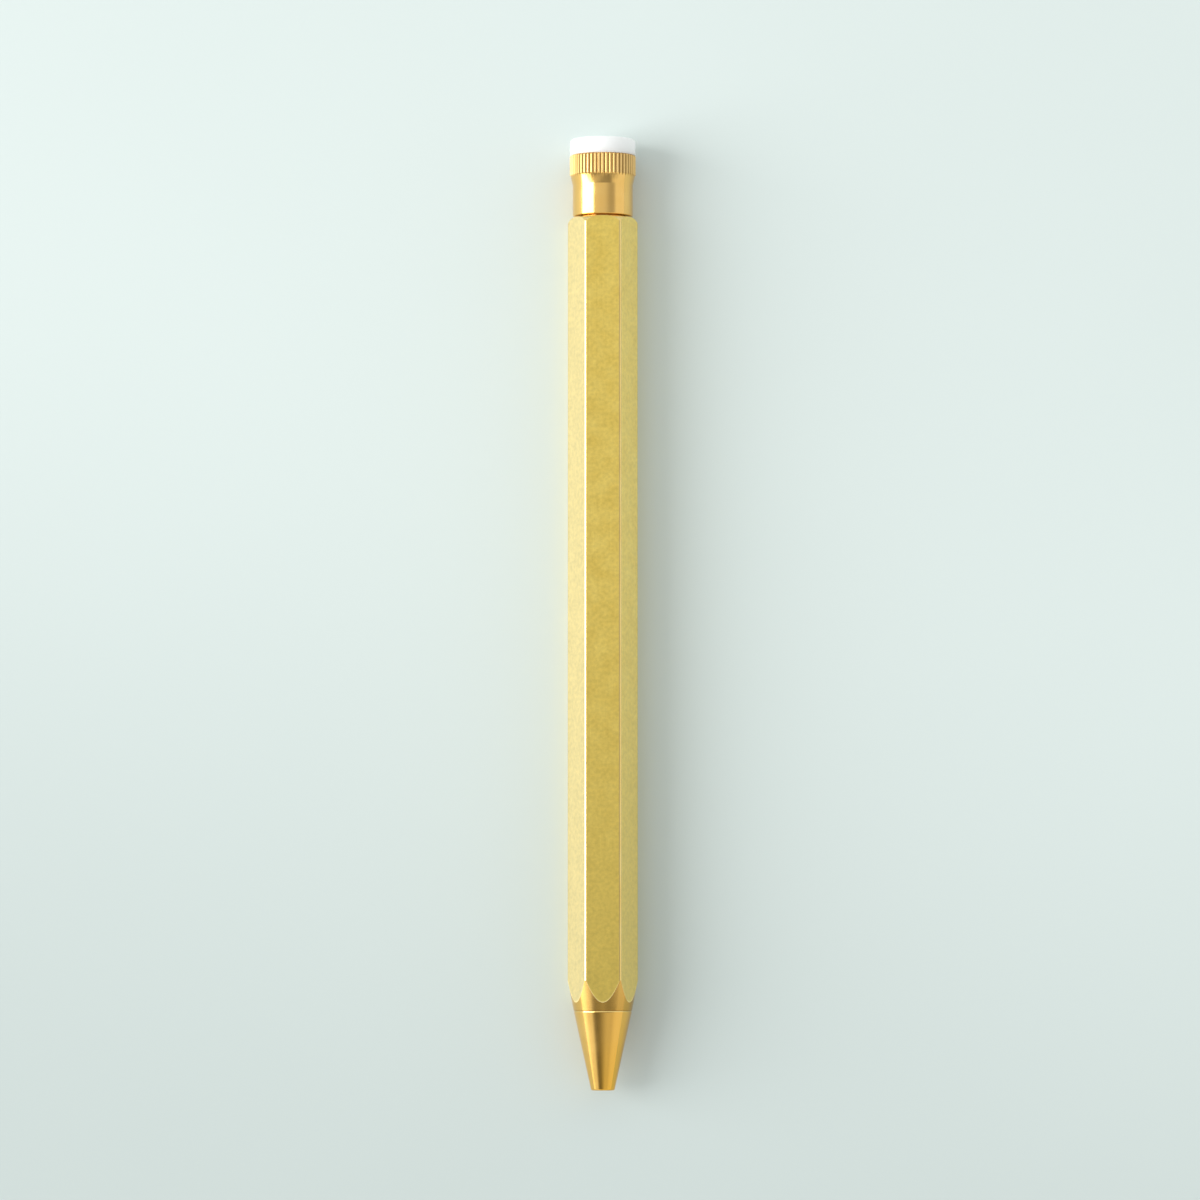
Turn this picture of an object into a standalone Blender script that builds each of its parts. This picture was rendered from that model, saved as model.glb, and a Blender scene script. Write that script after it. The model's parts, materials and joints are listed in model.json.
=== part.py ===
"""A hexagonal twist-action ballpoint pen, lying with one of its flats down.

The pen's axis runs along +Y, from the writing end to the white end plug, and +Z is up.
Every piece is turned or cut in its own frame, with local +Z along the pen towards the plug,
and is then hung on an empty that stands on the pen's axis. Lengths are in metres.

How it works: turning the knurled ferrule turns the spindle inside the barrel. Two pins on the
plunger sit in the spindle's helical grooves and in straight slots of the guide bush, so the
plunger cannot turn. It slides, and pushes the refill out through the nose cone.
"""

import math

import bmesh
import bpy
from mathutils import Vector

MM = 0.001

# Fits between pieces
SEAT_GAP = 0.05 * MM        # faces that rest against each other
RUNNING_GAP = 0.10 * MM     # radial gap of a piece that slides or turns in another
PRESS_GAP = 0.05 * MM       # radial gap that stands for a press fit or a thread
GROOVE_GAP = 0.14 * MM      # side gap of a pin in its groove or slot

# Refill, a standard large-capacity cartridge
REFILL_LENGTH = 98.1 * MM
REFILL_RADIUS = 2.95 * MM
REFILL_WALL = 0.35 * MM
BALL_RADIUS = 0.50 * MM
BALL_GAP = 0.04 * MM
BALL_SHOWS = 0.28 * MM      # how far the ball stands out of its socket
POINT_RIM_WALL = 0.10 * MM  # metal crimped round the ball
POINT_RADIUS = 1.15 * MM
POINT_CONE_LENGTH = 2.8 * MM
POINT_TANG_RADIUS = 0.85 * MM
POINT_TANG_LENGTH = 3.8 * MM
INK_CHANNEL_RADIUS = 0.25 * MM
SHOULDER_AT = 12.5 * MM     # from the ball's front to the step that the spring pushes on
SHOULDER_RADIUS = 2.1 * MM
REFILL_CONE_LENGTH = 3.0 * MM
REFILL_SOCKET_WEB = 0.6 * MM
INK_HEADROOM = 5.0 * MM     # air between the ink and the end plug
END_PLUG_HEAD = 5.0 * MM
END_PLUG_TANG = 5.0 * MM
END_PLUG_VENT_RADIUS = 0.45 * MM
END_PLUG_NOTCH_WIDTH = 1.2 * MM
END_PLUG_NOTCH_DEPTH = 1.6 * MM

# Travel
TRAVEL = 5.0 * MM           # how far the refill comes out
TWIST = math.radians(180)   # how far the ferrule turns for that
TIP_RECESS = 2.0 * MM       # how deep the ball sits in the nose cone when retracted

# Nose cone
NOSE_TIP_WALL = 0.41 * MM
NOSE_HALF_ANGLE = math.radians(12.45)
NOSE_BASE_INSET = 0.235 * MM  # the cone's base lies this far inside the barrel's flats
NOSE_EDGE = 0.15 * MM       # chamfers of the tip's end face
TIP_HOLE_GAP = 0.15 * MM
SPRING_SEAT_AT = 5.0 * MM
SPRING_CHAMBER_GAP = 0.20 * MM
SPIGOT_LENGTH = 6.8 * MM
SPIGOT_WALL = 0.29 * MM     # under the rubber ring's groove
SPIGOT_CHAMFER = 0.2 * MM
NOSE_RING_RADIUS = 0.18 * MM  # section of the rubber ring on the spigot
NOSE_RING_INSET = 1.4 * MM    # from the spigot's end to the ring's middle

# Return spring
SPRING_WIRE_RADIUS = 0.175 * MM
SPRING_TURNS = 8
SPRING_POINTS_PER_TURN = 10

# Plunger, pins, guide bush and spindle
PUSHER_LENGTH = 2.0 * MM
PLUNGER_WALL = 0.70 * MM
PIN_RADIUS = 0.40 * MM
PIN_EDGE = 1.0 * MM         # plunger left beyond the pins
PIN_TIP_INSET = 0.25 * MM   # the pins stop this far inside the guide bush's outer wall
BUSH_LEAD = 1.3 * MM        # from the pusher to the guide bush
BUSH_WALL = 0.90 * MM
SLOT_MARGIN = 1.6 * MM      # bush left in front of its slots
SPINDLE_RADIUS = 1.65 * MM
GROOVE_DEPTH = 0.62 * MM
GROOVE_LEAD_IN = 1.0 * MM   # groove left beyond the pins' travel, at each end
GROOVE_STEP = math.radians(12)
COLLAR_GAP = 0.5 * MM       # from the retracted plunger to the spindle's collar
COLLAR_LENGTH = 2.0 * MM
WASHER_THICKNESS = 0.4 * MM
BUSH_SHOULDER = 2.0 * MM
SHOULDER_STEP = 0.6 * MM    # from the bush's bore in to the spindle's neck
CLIP_THICKNESS = 0.5 * MM
CLIP_DEPTH = 0.4 * MM
CLIP_OPENING = 1.6 * MM
BRAKE_RING_RADIUS = 0.45 * MM
BRAKE_RING_LEAD = 3.2 * MM  # from the clip to the brake ring's middle
BUSH_TAIL = 3.6 * MM        # guide bush behind the brake ring's middle
HEAD_LEAD = 0.6 * MM        # from the guide bush to the ferrule's spigot
DRIVE_SQUARE = 2.6 * MM     # the spindle's square head, across its flats

# Barrel
BARREL_WALL = 0.515 * MM    # at its thinnest, round the nose's thread
BARREL_EDGE_RADIUS = 0.30 * MM
BARREL_EDGE_STEPS = 3
REFILL_BORE_GAP = 0.20 * MM
FRONT_HALF_ANGLE = math.radians(11.1)  # of the cone that runs on from the nose
REAR_CROWN_RADIUS = 1.5 * MM  # the rounding of the rear end
REAR_CROWN_STEPS = 4
REAR_FACE_INSET = 0.05 * MM
RELIEF_LENGTH = 0.3 * MM    # bore left beyond what is seated in it

# Ferrule, its screw and the white end plug
FERRULE_GAP = 0.2 * MM      # the shadow line between barrel and ferrule
FERRULE_SPIGOT = 3.2 * MM
NECK_INSET = 0.07 * MM      # the neck lies this far inside the barrel's flats
NECK_LENGTH = 4.6 * MM
FLARE_LENGTH = 1.4 * MM
FLARE_RISE = 0.31 * MM
KNURL_LENGTH = 3.0 * MM
KNURL_RISE = 0.10 * MM      # the knurl's crests over the flare's edge
KNURL_TEETH = 52
KNURL_DEPTH = 0.20 * MM
KNURL_CREST_SHARE = 0.30    # of a tooth's pitch that is left uncut
FERRULE_EDGE = 0.15 * MM
FERRULE_CUP_WALL = 1.0 * MM
FERRULE_WEB = 3.8 * MM
SCREW_RADIUS = 0.80 * MM
SCREW_LENGTH = 4.6 * MM
SCREW_HEAD_RADIUS = 1.6 * MM
SCREW_HEAD_HEIGHT = 1.0 * MM
SCREW_SLOT_WIDTH = 0.4 * MM
SCREW_SLOT_DEPTH = 0.45 * MM
CAP_LENGTH = 2.4 * MM       # the white plug that shows
CAP_INSET = 0.02 * MM       # the white plug lies this far inside the knurl's crests
CAP_EDGE = 0.55 * MM
CAP_EDGE_STEPS = 5
CAP_SCREW_GAP = 0.4 * MM

# Facets round a turned piece
FINE, MEDIUM, COARSE = 60, 36, 24
OVERCUT = 1.0 * MM          # how far a cutter reaches past what it cuts

# Radii that follow, from the inside out
SLEEVE_BORE = SPINDLE_RADIUS + RUNNING_GAP
SLEEVE_RADIUS = SLEEVE_BORE + PLUNGER_WALL
BUSH_BORE = SLEEVE_RADIUS + RUNNING_GAP
BUSH_RADIUS = BUSH_BORE + BUSH_WALL
REAR_BORE = BUSH_RADIUS + PRESS_GAP
SPINDLE_NECK_RADIUS = BUSH_BORE - SHOULDER_STEP
REFILL_BORE = REFILL_RADIUS + REFILL_BORE_GAP
NOSE_BORE = REFILL_RADIUS + RUNNING_GAP
SPIGOT_RADIUS = NOSE_BORE + SPIGOT_WALL + 2 * NOSE_RING_RADIUS
FRONT_BORE = SPIGOT_RADIUS + PRESS_GAP
APOTHEM = max(FRONT_BORE + NOSE_BASE_INSET, REAR_BORE) + BARREL_WALL
CORNER_RADIUS = APOTHEM / math.cos(math.radians(30))
TIP_HOLE_RADIUS = POINT_RADIUS + TIP_HOLE_GAP
NOSE_TIP_RADIUS = TIP_HOLE_RADIUS + NOSE_TIP_WALL
NOSE_BASE_RADIUS = APOTHEM - NOSE_BASE_INSET
SPRING_RADIUS = (POINT_RADIUS + SHOULDER_RADIUS) / 2 + SPRING_WIRE_RADIUS
SPRING_CHAMBER_RADIUS = SPRING_RADIUS + SPRING_WIRE_RADIUS + SPRING_CHAMBER_GAP
NECK_RADIUS = APOTHEM - NECK_INSET
FLARE_RADIUS = NECK_RADIUS + FLARE_RISE
KNURL_RADIUS = FLARE_RADIUS + KNURL_RISE
CAP_RADIUS = KNURL_RADIUS - CAP_INSET
CUP_RADIUS = KNURL_RADIUS - KNURL_DEPTH - FERRULE_CUP_WALL

# Stations along the axis, counted from the nose cone's tip
NOSE_LENGTH = (NOSE_BASE_RADIUS - NOSE_TIP_RADIUS) / math.tan(NOSE_HALF_ANGLE)
REFILL_AT = TIP_RECESS
PLUNGER_AT = REFILL_AT + REFILL_LENGTH + SEAT_GAP
BUSH_AT = PLUNGER_AT + PUSHER_LENGTH + BUSH_LEAD
SLOT_REACH = PIN_RADIUS + GROOVE_GAP
PINS_AT = BUSH_AT + SLOT_MARGIN + SLOT_REACH + TRAVEL
SLEEVE_END = PINS_AT + PIN_RADIUS + PIN_EDGE
SPINDLE_AT = PINS_AT - TRAVEL - PIN_RADIUS - GROOVE_LEAD_IN / 2
COLLAR_AT = SLEEVE_END + COLLAR_GAP
WASHER_AT = COLLAR_AT + COLLAR_LENGTH + SEAT_GAP
SHOULDER_STATION = WASHER_AT + WASHER_THICKNESS + SEAT_GAP
CLIP_AT = SHOULDER_STATION + BUSH_SHOULDER + SEAT_GAP
BRAKE_RING_AT = CLIP_AT + CLIP_THICKNESS + BRAKE_RING_LEAD
BUSH_END = BRAKE_RING_AT + BUSH_TAIL
FERRULE_AT = BUSH_END + HEAD_LEAD + FERRULE_SPIGOT
BARREL_AT = NOSE_LENGTH + SEAT_GAP
BARREL_LENGTH = FERRULE_AT - FERRULE_GAP - BARREL_AT
KNURL_AT = FERRULE_AT + NECK_LENGTH + FLARE_LENGTH
CAP_AT = KNURL_AT + KNURL_LENGTH + SEAT_GAP
OVERALL_LENGTH = CAP_AT + CAP_LENGTH

# The pen lies level with its middle over the origin, and what stands out most just touches the ground.
AXIS_HEIGHT = max(KNURL_RADIUS, APOTHEM)


def clear_scene():
    for obj in list(bpy.data.objects):
        bpy.data.objects.remove(obj, do_unlink=True)


# Materials

def material(name, colour, roughness, metallic):
    made = bpy.data.materials.new(name)
    made.use_nodes = True
    shader = made.node_tree.nodes["Principled BSDF"]
    shader.inputs["Base Color"].default_value = (*colour, 1.0)
    shader.inputs["Roughness"].default_value = roughness
    shader.inputs["Metallic"].default_value = metallic
    return made


# Building blocks

def axis_empty(name, station, parent=None):
    """An empty on the pen's axis. The first lays local +Z along the pen, and the rest hang on it."""
    empty = bpy.data.objects.new(name, None)
    bpy.context.scene.collection.objects.link(empty)
    if parent is None:
        empty.location = (0, -OVERALL_LENGTH / 2 + station, AXIS_HEIGHT)
        empty.rotation_euler = (math.radians(-90), 0, 0)
    else:
        empty.parent = parent
        empty.location = (0, 0, station)
    return empty


def add_object(name, data, parent, station, finish):
    obj = bpy.data.objects.new(name, data)
    bpy.context.scene.collection.objects.link(obj)
    obj.parent = parent
    obj.location = (0, 0, station)
    if finish is not None:
        obj.data.materials.append(finish)
    return obj


def mesh_from(bm, name):
    bmesh.ops.recalc_face_normals(bm, faces=bm.faces)
    mesh = bpy.data.meshes.new(name)
    bm.to_mesh(mesh)
    bm.free()
    mesh.shade_smooth()
    mesh.set_sharp_from_angle(angle=math.radians(30))
    return mesh


def turned(name, profile, parent, station=0.0, finish=None, segments=MEDIUM, start=0.0):
    """A lathe piece. Its profile, a list of (radius, height), starts and ends on the axis,
    or goes round a section that stands clear of it. Its facets count from the start angle."""
    bm = bmesh.new()
    across, up = math.cos(start), math.sin(start)
    points = [bm.verts.new((radius * across, radius * up, height)) for radius, height in profile]
    pairs = list(zip(points, points[1:]))
    if profile[0][0] > 0:
        pairs.append((points[-1], points[0]))
    edges = [bm.edges.new(pair) for pair in pairs]
    bmesh.ops.spin(
        bm,
        geom=points + edges,
        cent=(0, 0, 0),
        axis=(0, 0, 1),
        angle=math.tau,
        steps=segments,
        use_merge=True,
    )
    bmesh.ops.remove_doubles(bm, verts=bm.verts, dist=1e-8)
    return add_object(name, mesh_from(bm, name), parent, station, finish)


def prism(name, outlines, height, parent, station=0.0, finish=None):
    """Straight bars standing on the outlines, which are lists of (x, y) and stay clear of each other."""
    bm = bmesh.new()
    for outline in outlines:
        face = bm.faces.new([bm.verts.new((x, y, 0)) for x, y in outline])
        grown = bmesh.ops.extrude_face_region(bm, geom=[face])["geom"]
        risen = [v for v in grown if isinstance(v, bmesh.types.BMVert)]
        bmesh.ops.translate(bm, verts=risen, vec=(0, 0, height))
    return add_object(name, mesh_from(bm, name), parent, station, finish)


def rectangle(width, depth, centre_x=0.0):
    left, right = centre_x - width / 2, centre_x + width / 2
    return [(left, -depth / 2), (right, -depth / 2), (right, depth / 2), (left, depth / 2)]


def cut(target, tool, operation="DIFFERENCE"):
    """Leaves a Boolean on the target and turns the tool into a hidden helper."""
    modifier = target.modifiers.new(tool.name, "BOOLEAN")
    modifier.operation = operation
    modifier.solver = "EXACT"
    modifier.object = tool
    tool.hide_render = True
    tool.display_type = "WIRE"


def ring_profile(inner, outer, low, high):
    return [(inner, low), (outer, low), (outer, high), (inner, high)]


def round_ring_profile(middle, section, points=8):
    """The round section of a rubber ring."""
    angles = [math.tau * k / points for k in range(points)]
    return [(middle + section * math.cos(a), section * math.sin(a)) for a in angles]


# Nose and barrel

def make_nose_cone(parent, finish):
    """A cone with a spigot behind. Inside, the hole for the point opens into the spring's chamber, and
    that into a cone which follows the refill's own cone where it stops, fully out."""
    top = NOSE_LENGTH + SPIGOT_LENGTH
    edge = min(NOSE_EDGE, NOSE_TIP_WALL / 3)
    ring_at = top - NOSE_RING_INSET
    ring_half = NOSE_RING_RADIUS + SEAT_GAP
    ring_floor = SPIGOT_RADIUS - 2 * NOSE_RING_RADIUS
    foremost_shoulder = REFILL_AT + SHOULDER_AT - TRAVEL - RELIEF_LENGTH
    turned(
        "nose_cone",
        [
            (TIP_HOLE_RADIUS, edge),
            (TIP_HOLE_RADIUS + edge, 0),
            (NOSE_TIP_RADIUS - edge, 0),
            (NOSE_TIP_RADIUS + edge * math.tan(NOSE_HALF_ANGLE), edge),
            (NOSE_BASE_RADIUS, NOSE_LENGTH),
            (SPIGOT_RADIUS, NOSE_LENGTH),
            (SPIGOT_RADIUS, ring_at - ring_half),
            (ring_floor, ring_at - ring_half),
            (ring_floor, ring_at + ring_half),
            (SPIGOT_RADIUS, ring_at + ring_half),
            (SPIGOT_RADIUS, top - SPIGOT_CHAMFER),
            (SPIGOT_RADIUS - SPIGOT_CHAMFER, top),
            (NOSE_BORE, top),
            (NOSE_BORE, foremost_shoulder + REFILL_CONE_LENGTH),
            (max(SHOULDER_RADIUS + RUNNING_GAP, SPRING_CHAMBER_RADIUS), foremost_shoulder),
            (SPRING_CHAMBER_RADIUS, foremost_shoulder),
            (SPRING_CHAMBER_RADIUS, SPRING_SEAT_AT),
            (TIP_HOLE_RADIUS, SPRING_SEAT_AT),
        ],
        parent,
        finish=finish,
    )
    return ring_at


def make_nose_ring(parent, station, finish):
    middle = SPIGOT_RADIUS - NOSE_RING_RADIUS + PRESS_GAP / 2
    turned("nose_o_ring", round_ring_profile(middle, NOSE_RING_RADIUS), parent, station, finish, COARSE)


def hexagon_outline():
    """The bar's section, with corners at both sides, flats above and below, and softened edges."""
    arc_centre = CORNER_RADIUS - BARREL_EDGE_RADIUS / math.cos(math.radians(30))
    outline = []
    for k in range(6):
        corner = k * math.radians(60)
        for step in range(BARREL_EDGE_STEPS + 1):
            facing = corner + math.radians(60) * (step / BARREL_EDGE_STEPS - 0.5)
            x = arc_centre * math.cos(corner) + BARREL_EDGE_RADIUS * math.cos(facing)
            y = arc_centre * math.sin(corner) + BARREL_EDGE_RADIUS * math.sin(facing)
            outline.append((x, y))
    return outline


def make_barrel(parent, finish):
    """A hexagon bar, turned to a cone in front, crowned behind, and bored through."""
    outline = [hexagon_outline()]
    barrel = prism("barrel", outline, BARREL_LENGTH + 2 * OVERCUT, parent, BARREL_AT - OVERCUT, finish)

    widest = CORNER_RADIUS + OVERCUT
    front_rise = (widest - NOSE_BASE_RADIUS) / math.tan(FRONT_HALF_ANGLE)
    crown_centre = CORNER_RADIUS - REAR_CROWN_RADIUS
    rear_face = APOTHEM - REAR_FACE_INSET
    crown_turn = math.acos((rear_face - crown_centre) / REAR_CROWN_RADIUS)
    crown_foot = BARREL_LENGTH - REAR_CROWN_RADIUS * math.sin(crown_turn)
    crown = []
    for k in range(REAR_CROWN_STEPS + 1):
        angle = crown_turn * k / REAR_CROWN_STEPS
        radius = crown_centre + REAR_CROWN_RADIUS * math.cos(angle)
        crown.append((radius, crown_foot + REAR_CROWN_RADIUS * math.sin(angle)))
    envelope = turned(
        "barrel_envelope",
        [(0, 0), (NOSE_BASE_RADIUS, 0), (widest, front_rise), (widest, crown_foot)]
        + crown
        + [(0, BARREL_LENGTH)],
        parent,
        BARREL_AT,
        segments=FINE,
    )
    cut(barrel, envelope, "INTERSECT")

    front_bore_end = NOSE_LENGTH + SPIGOT_LENGTH + RELIEF_LENGTH
    rear_bore_at = BUSH_AT - SEAT_GAP
    bore = turned(
        "barrel_bore",
        [
            (0, BARREL_AT - OVERCUT),
            (FRONT_BORE, BARREL_AT - OVERCUT),
            (FRONT_BORE, front_bore_end),
            (REFILL_BORE, front_bore_end),
            (REFILL_BORE, rear_bore_at),
            (REAR_BORE, rear_bore_at),
            (REAR_BORE, BARREL_AT + BARREL_LENGTH + OVERCUT),
            (0, BARREL_AT + BARREL_LENGTH + OVERCUT),
        ],
        parent,
    )
    cut(barrel, bore)


# Refill and spring

def make_writing_ball(parent, finish):
    bm = bmesh.new()
    bmesh.ops.create_uvsphere(bm, u_segments=20, v_segments=12, radius=BALL_RADIUS)
    add_object("writing_ball", mesh_from(bm, "writing_ball"), parent, BALL_RADIUS, finish)


def make_point(parent, finish):
    """The tip that holds the ball: crimped over it in front, with an ink channel and a tang behind."""
    depth_of_rim = BALL_RADIUS - BALL_SHOWS
    rim_bore = math.sqrt(BALL_RADIUS**2 - depth_of_rim**2) + BALL_GAP
    socket = BALL_RADIUS + BALL_GAP
    seat_height = 2 * BALL_RADIUS + BALL_GAP
    turned(
        "point_tip",
        [
            (rim_bore, BALL_SHOWS),
            (rim_bore + POINT_RIM_WALL, BALL_SHOWS),
            (POINT_RADIUS, BALL_SHOWS + POINT_CONE_LENGTH),
            (POINT_RADIUS, SHOULDER_AT - SEAT_GAP),
            (POINT_TANG_RADIUS, SHOULDER_AT - SEAT_GAP),
            (POINT_TANG_RADIUS, SHOULDER_AT + POINT_TANG_LENGTH),
            (INK_CHANNEL_RADIUS, SHOULDER_AT + POINT_TANG_LENGTH),
            (INK_CHANNEL_RADIUS, seat_height),
            (socket, BALL_RADIUS + BALL_RADIUS / 2),
            (socket, BALL_RADIUS),
        ],
        parent,
        finish=finish,
        segments=COARSE,
    )


def make_refill_tube(parent, finish):
    """The metal tube, drawn to a cone in front. The spring pushes on the cone's flat front face."""
    socket = POINT_TANG_RADIUS + PRESS_GAP
    socket_end = SHOULDER_AT + POINT_TANG_LENGTH + SEAT_GAP
    ink_bore = REFILL_RADIUS - REFILL_WALL
    tube_end = REFILL_LENGTH - END_PLUG_HEAD - SEAT_GAP
    turned(
        "refill_tube",
        [
            (socket, SHOULDER_AT),
            (SHOULDER_RADIUS, SHOULDER_AT),
            (REFILL_RADIUS, SHOULDER_AT + REFILL_CONE_LENGTH),
            (REFILL_RADIUS, tube_end),
            (ink_bore, tube_end),
            (ink_bore, socket_end + REFILL_SOCKET_WEB),
            (socket, socket_end + REFILL_SOCKET_WEB),
        ],
        parent,
        finish=finish,
    )
    return socket_end + REFILL_SOCKET_WEB + SEAT_GAP, ink_bore - PRESS_GAP


def make_ink(parent, station, radius, finish):
    length = REFILL_LENGTH - END_PLUG_HEAD - END_PLUG_TANG - INK_HEADROOM - station
    profile = [(0, 0), (radius, 0), (radius, length), (0, length)]
    turned("ink_column", profile, parent, station, finish, COARSE)


def make_end_plug(parent, finish):
    """The moulded crown at the refill's rear, notched across and vented."""
    tang = REFILL_RADIUS - REFILL_WALL - PRESS_GAP
    plug = turned(
        "refill_end_plug",
        [
            (END_PLUG_VENT_RADIUS, -END_PLUG_TANG),
            (tang, -END_PLUG_TANG),
            (tang, 0),
            (REFILL_RADIUS, 0),
            (REFILL_RADIUS, END_PLUG_HEAD),
            (END_PLUG_VENT_RADIUS, END_PLUG_HEAD),
        ],
        parent,
        REFILL_LENGTH - END_PLUG_HEAD,
        finish,
    )
    length = 2 * (REFILL_RADIUS + OVERCUT)
    for axis_name, size in (("x", (length, END_PLUG_NOTCH_WIDTH)), ("y", (END_PLUG_NOTCH_WIDTH, length))):
        notch = prism(
            f"end_plug_notch_{axis_name}",
            [rectangle(*size)],
            END_PLUG_NOTCH_DEPTH + OVERCUT,
            parent,
            REFILL_LENGTH - END_PLUG_NOTCH_DEPTH,
        )
        cut(plug, notch)


def make_return_spring(parent, finish):
    """A round-wire helix between the nose cone's ledge and the refill's shoulder, as one unbroken tube."""
    low = SPRING_SEAT_AT + SPRING_WIRE_RADIUS + SEAT_GAP
    high = REFILL_AT + SHOULDER_AT - SPRING_WIRE_RADIUS - SEAT_GAP
    count = SPRING_TURNS * SPRING_POINTS_PER_TURN
    route = []
    for k in range(count + 1):
        angle = math.tau * k / SPRING_POINTS_PER_TURN
        height = low + (high - low) * k / count
        route.append(Vector((SPRING_RADIUS * math.cos(angle), SPRING_RADIUS * math.sin(angle), height)))

    curve = bpy.data.curves.new("return_spring", "CURVE")
    curve.dimensions = "3D"
    curve.bevel_depth = SPRING_WIRE_RADIUS
    curve.bevel_resolution = 1
    curve.use_fill_caps = True
    spline = curve.splines.new("POLY")
    spline.points.add(len(route) - 1)
    for point, place in zip(spline.points, route):
        point.co = (*place, 1)
    add_object("return_spring", curve, parent, 0, finish)

    apart = SPRING_POINTS_PER_TURN // 2
    least = min((a - b).length for i, a in enumerate(route) for b in route[i + apart:])
    print(f"return_spring: least gap to itself {(least - 2 * SPRING_WIRE_RADIUS) / MM:.2f} mm")


# Twist mechanism

def make_plunger(parent, finish):
    """A cup that pushes on the refill. Its sleeve runs over the spindle and carries the two pins."""
    sleeve_end = SLEEVE_END - PLUNGER_AT
    plunger = turned(
        "plunger",
        [
            (0, 0),
            (SLEEVE_RADIUS, 0),
            (SLEEVE_RADIUS, sleeve_end),
            (SLEEVE_BORE, sleeve_end),
            (SLEEVE_BORE, PUSHER_LENGTH),
            (0, PUSHER_LENGTH),
        ],
        parent,
        PLUNGER_AT,
        finish,
    )
    drill_length = 2 * (SLEEVE_RADIUS + OVERCUT)
    drill_radius = PIN_RADIUS + PRESS_GAP
    drill = turned(
        "plunger_pin_drill",
        [(0, 0), (drill_radius, 0), (drill_radius, drill_length), (0, drill_length)],
        parent,
        PINS_AT,
        segments=COARSE,
    )
    drill.location.x = -drill_length / 2
    drill.rotation_euler = (0, math.radians(90), 0)
    cut(plunger, drill)


def make_drive_pins(parent, finish):
    """Two round pins across the plunger's wall, one on each side of the axis."""
    inner = SPINDLE_RADIUS - GROOVE_DEPTH + RUNNING_GAP
    length = BUSH_RADIUS - PIN_TIP_INSET - inner
    profile = [(0, 0), (PIN_RADIUS, 0), (PIN_RADIUS, length), (0, length)]
    for side, name in ((1, "drive_pin_right"), (-1, "drive_pin_left")):
        pin = turned(name, profile, parent, PINS_AT, finish, segments=16)
        pin.location.x = side * inner
        pin.rotation_euler = (0, side * math.radians(90), 0)


def make_guide_bush(parent, finish):
    """A tube pressed into the barrel, with two straight slots for the pins and a shoulder inside."""
    neck_bore = SPINDLE_NECK_RADIUS + RUNNING_GAP
    shoulder = SHOULDER_STATION - BUSH_AT
    bush = turned(
        "guide_bush",
        [
            (BUSH_BORE, 0),
            (BUSH_RADIUS, 0),
            (BUSH_RADIUS, BUSH_END - BUSH_AT),
            (BUSH_BORE, BUSH_END - BUSH_AT),
            (BUSH_BORE, shoulder + BUSH_SHOULDER),
            (neck_bore, shoulder + BUSH_SHOULDER),
            (neck_bore, shoulder),
            (BUSH_BORE, shoulder),
        ],
        parent,
        BUSH_AT,
        finish,
    )
    slot_length = TRAVEL + 2 * SLOT_REACH
    slot = prism(
        "guide_slot",
        [rectangle(2 * (BUSH_RADIUS + OVERCUT), 2 * SLOT_REACH)],
        slot_length,
        parent,
        BUSH_AT + SLOT_MARGIN,
    )
    cut(bush, slot)


def groove_section(half_width):
    """The spindle's section: a circle with a square-sided groove on each side, along local X."""
    edge_angle = math.asin(half_width / SPINDLE_RADIUS)
    floor = SPINDLE_RADIUS - GROOVE_DEPTH
    arc_steps = 8
    outline = []
    for turn in (0, math.pi):
        start, end = edge_angle, math.pi - edge_angle
        half = [(floor, -half_width), (floor, half_width)]
        for k in range(arc_steps + 1):
            angle = start + (end - start) * k / arc_steps
            half.append((SPINDLE_RADIUS * math.cos(angle), SPINDLE_RADIUS * math.sin(angle)))
        c, s = math.cos(turn), math.sin(turn)
        outline += [(c * x - s * y, s * x + c * y) for x, y in half]
    return outline


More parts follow.
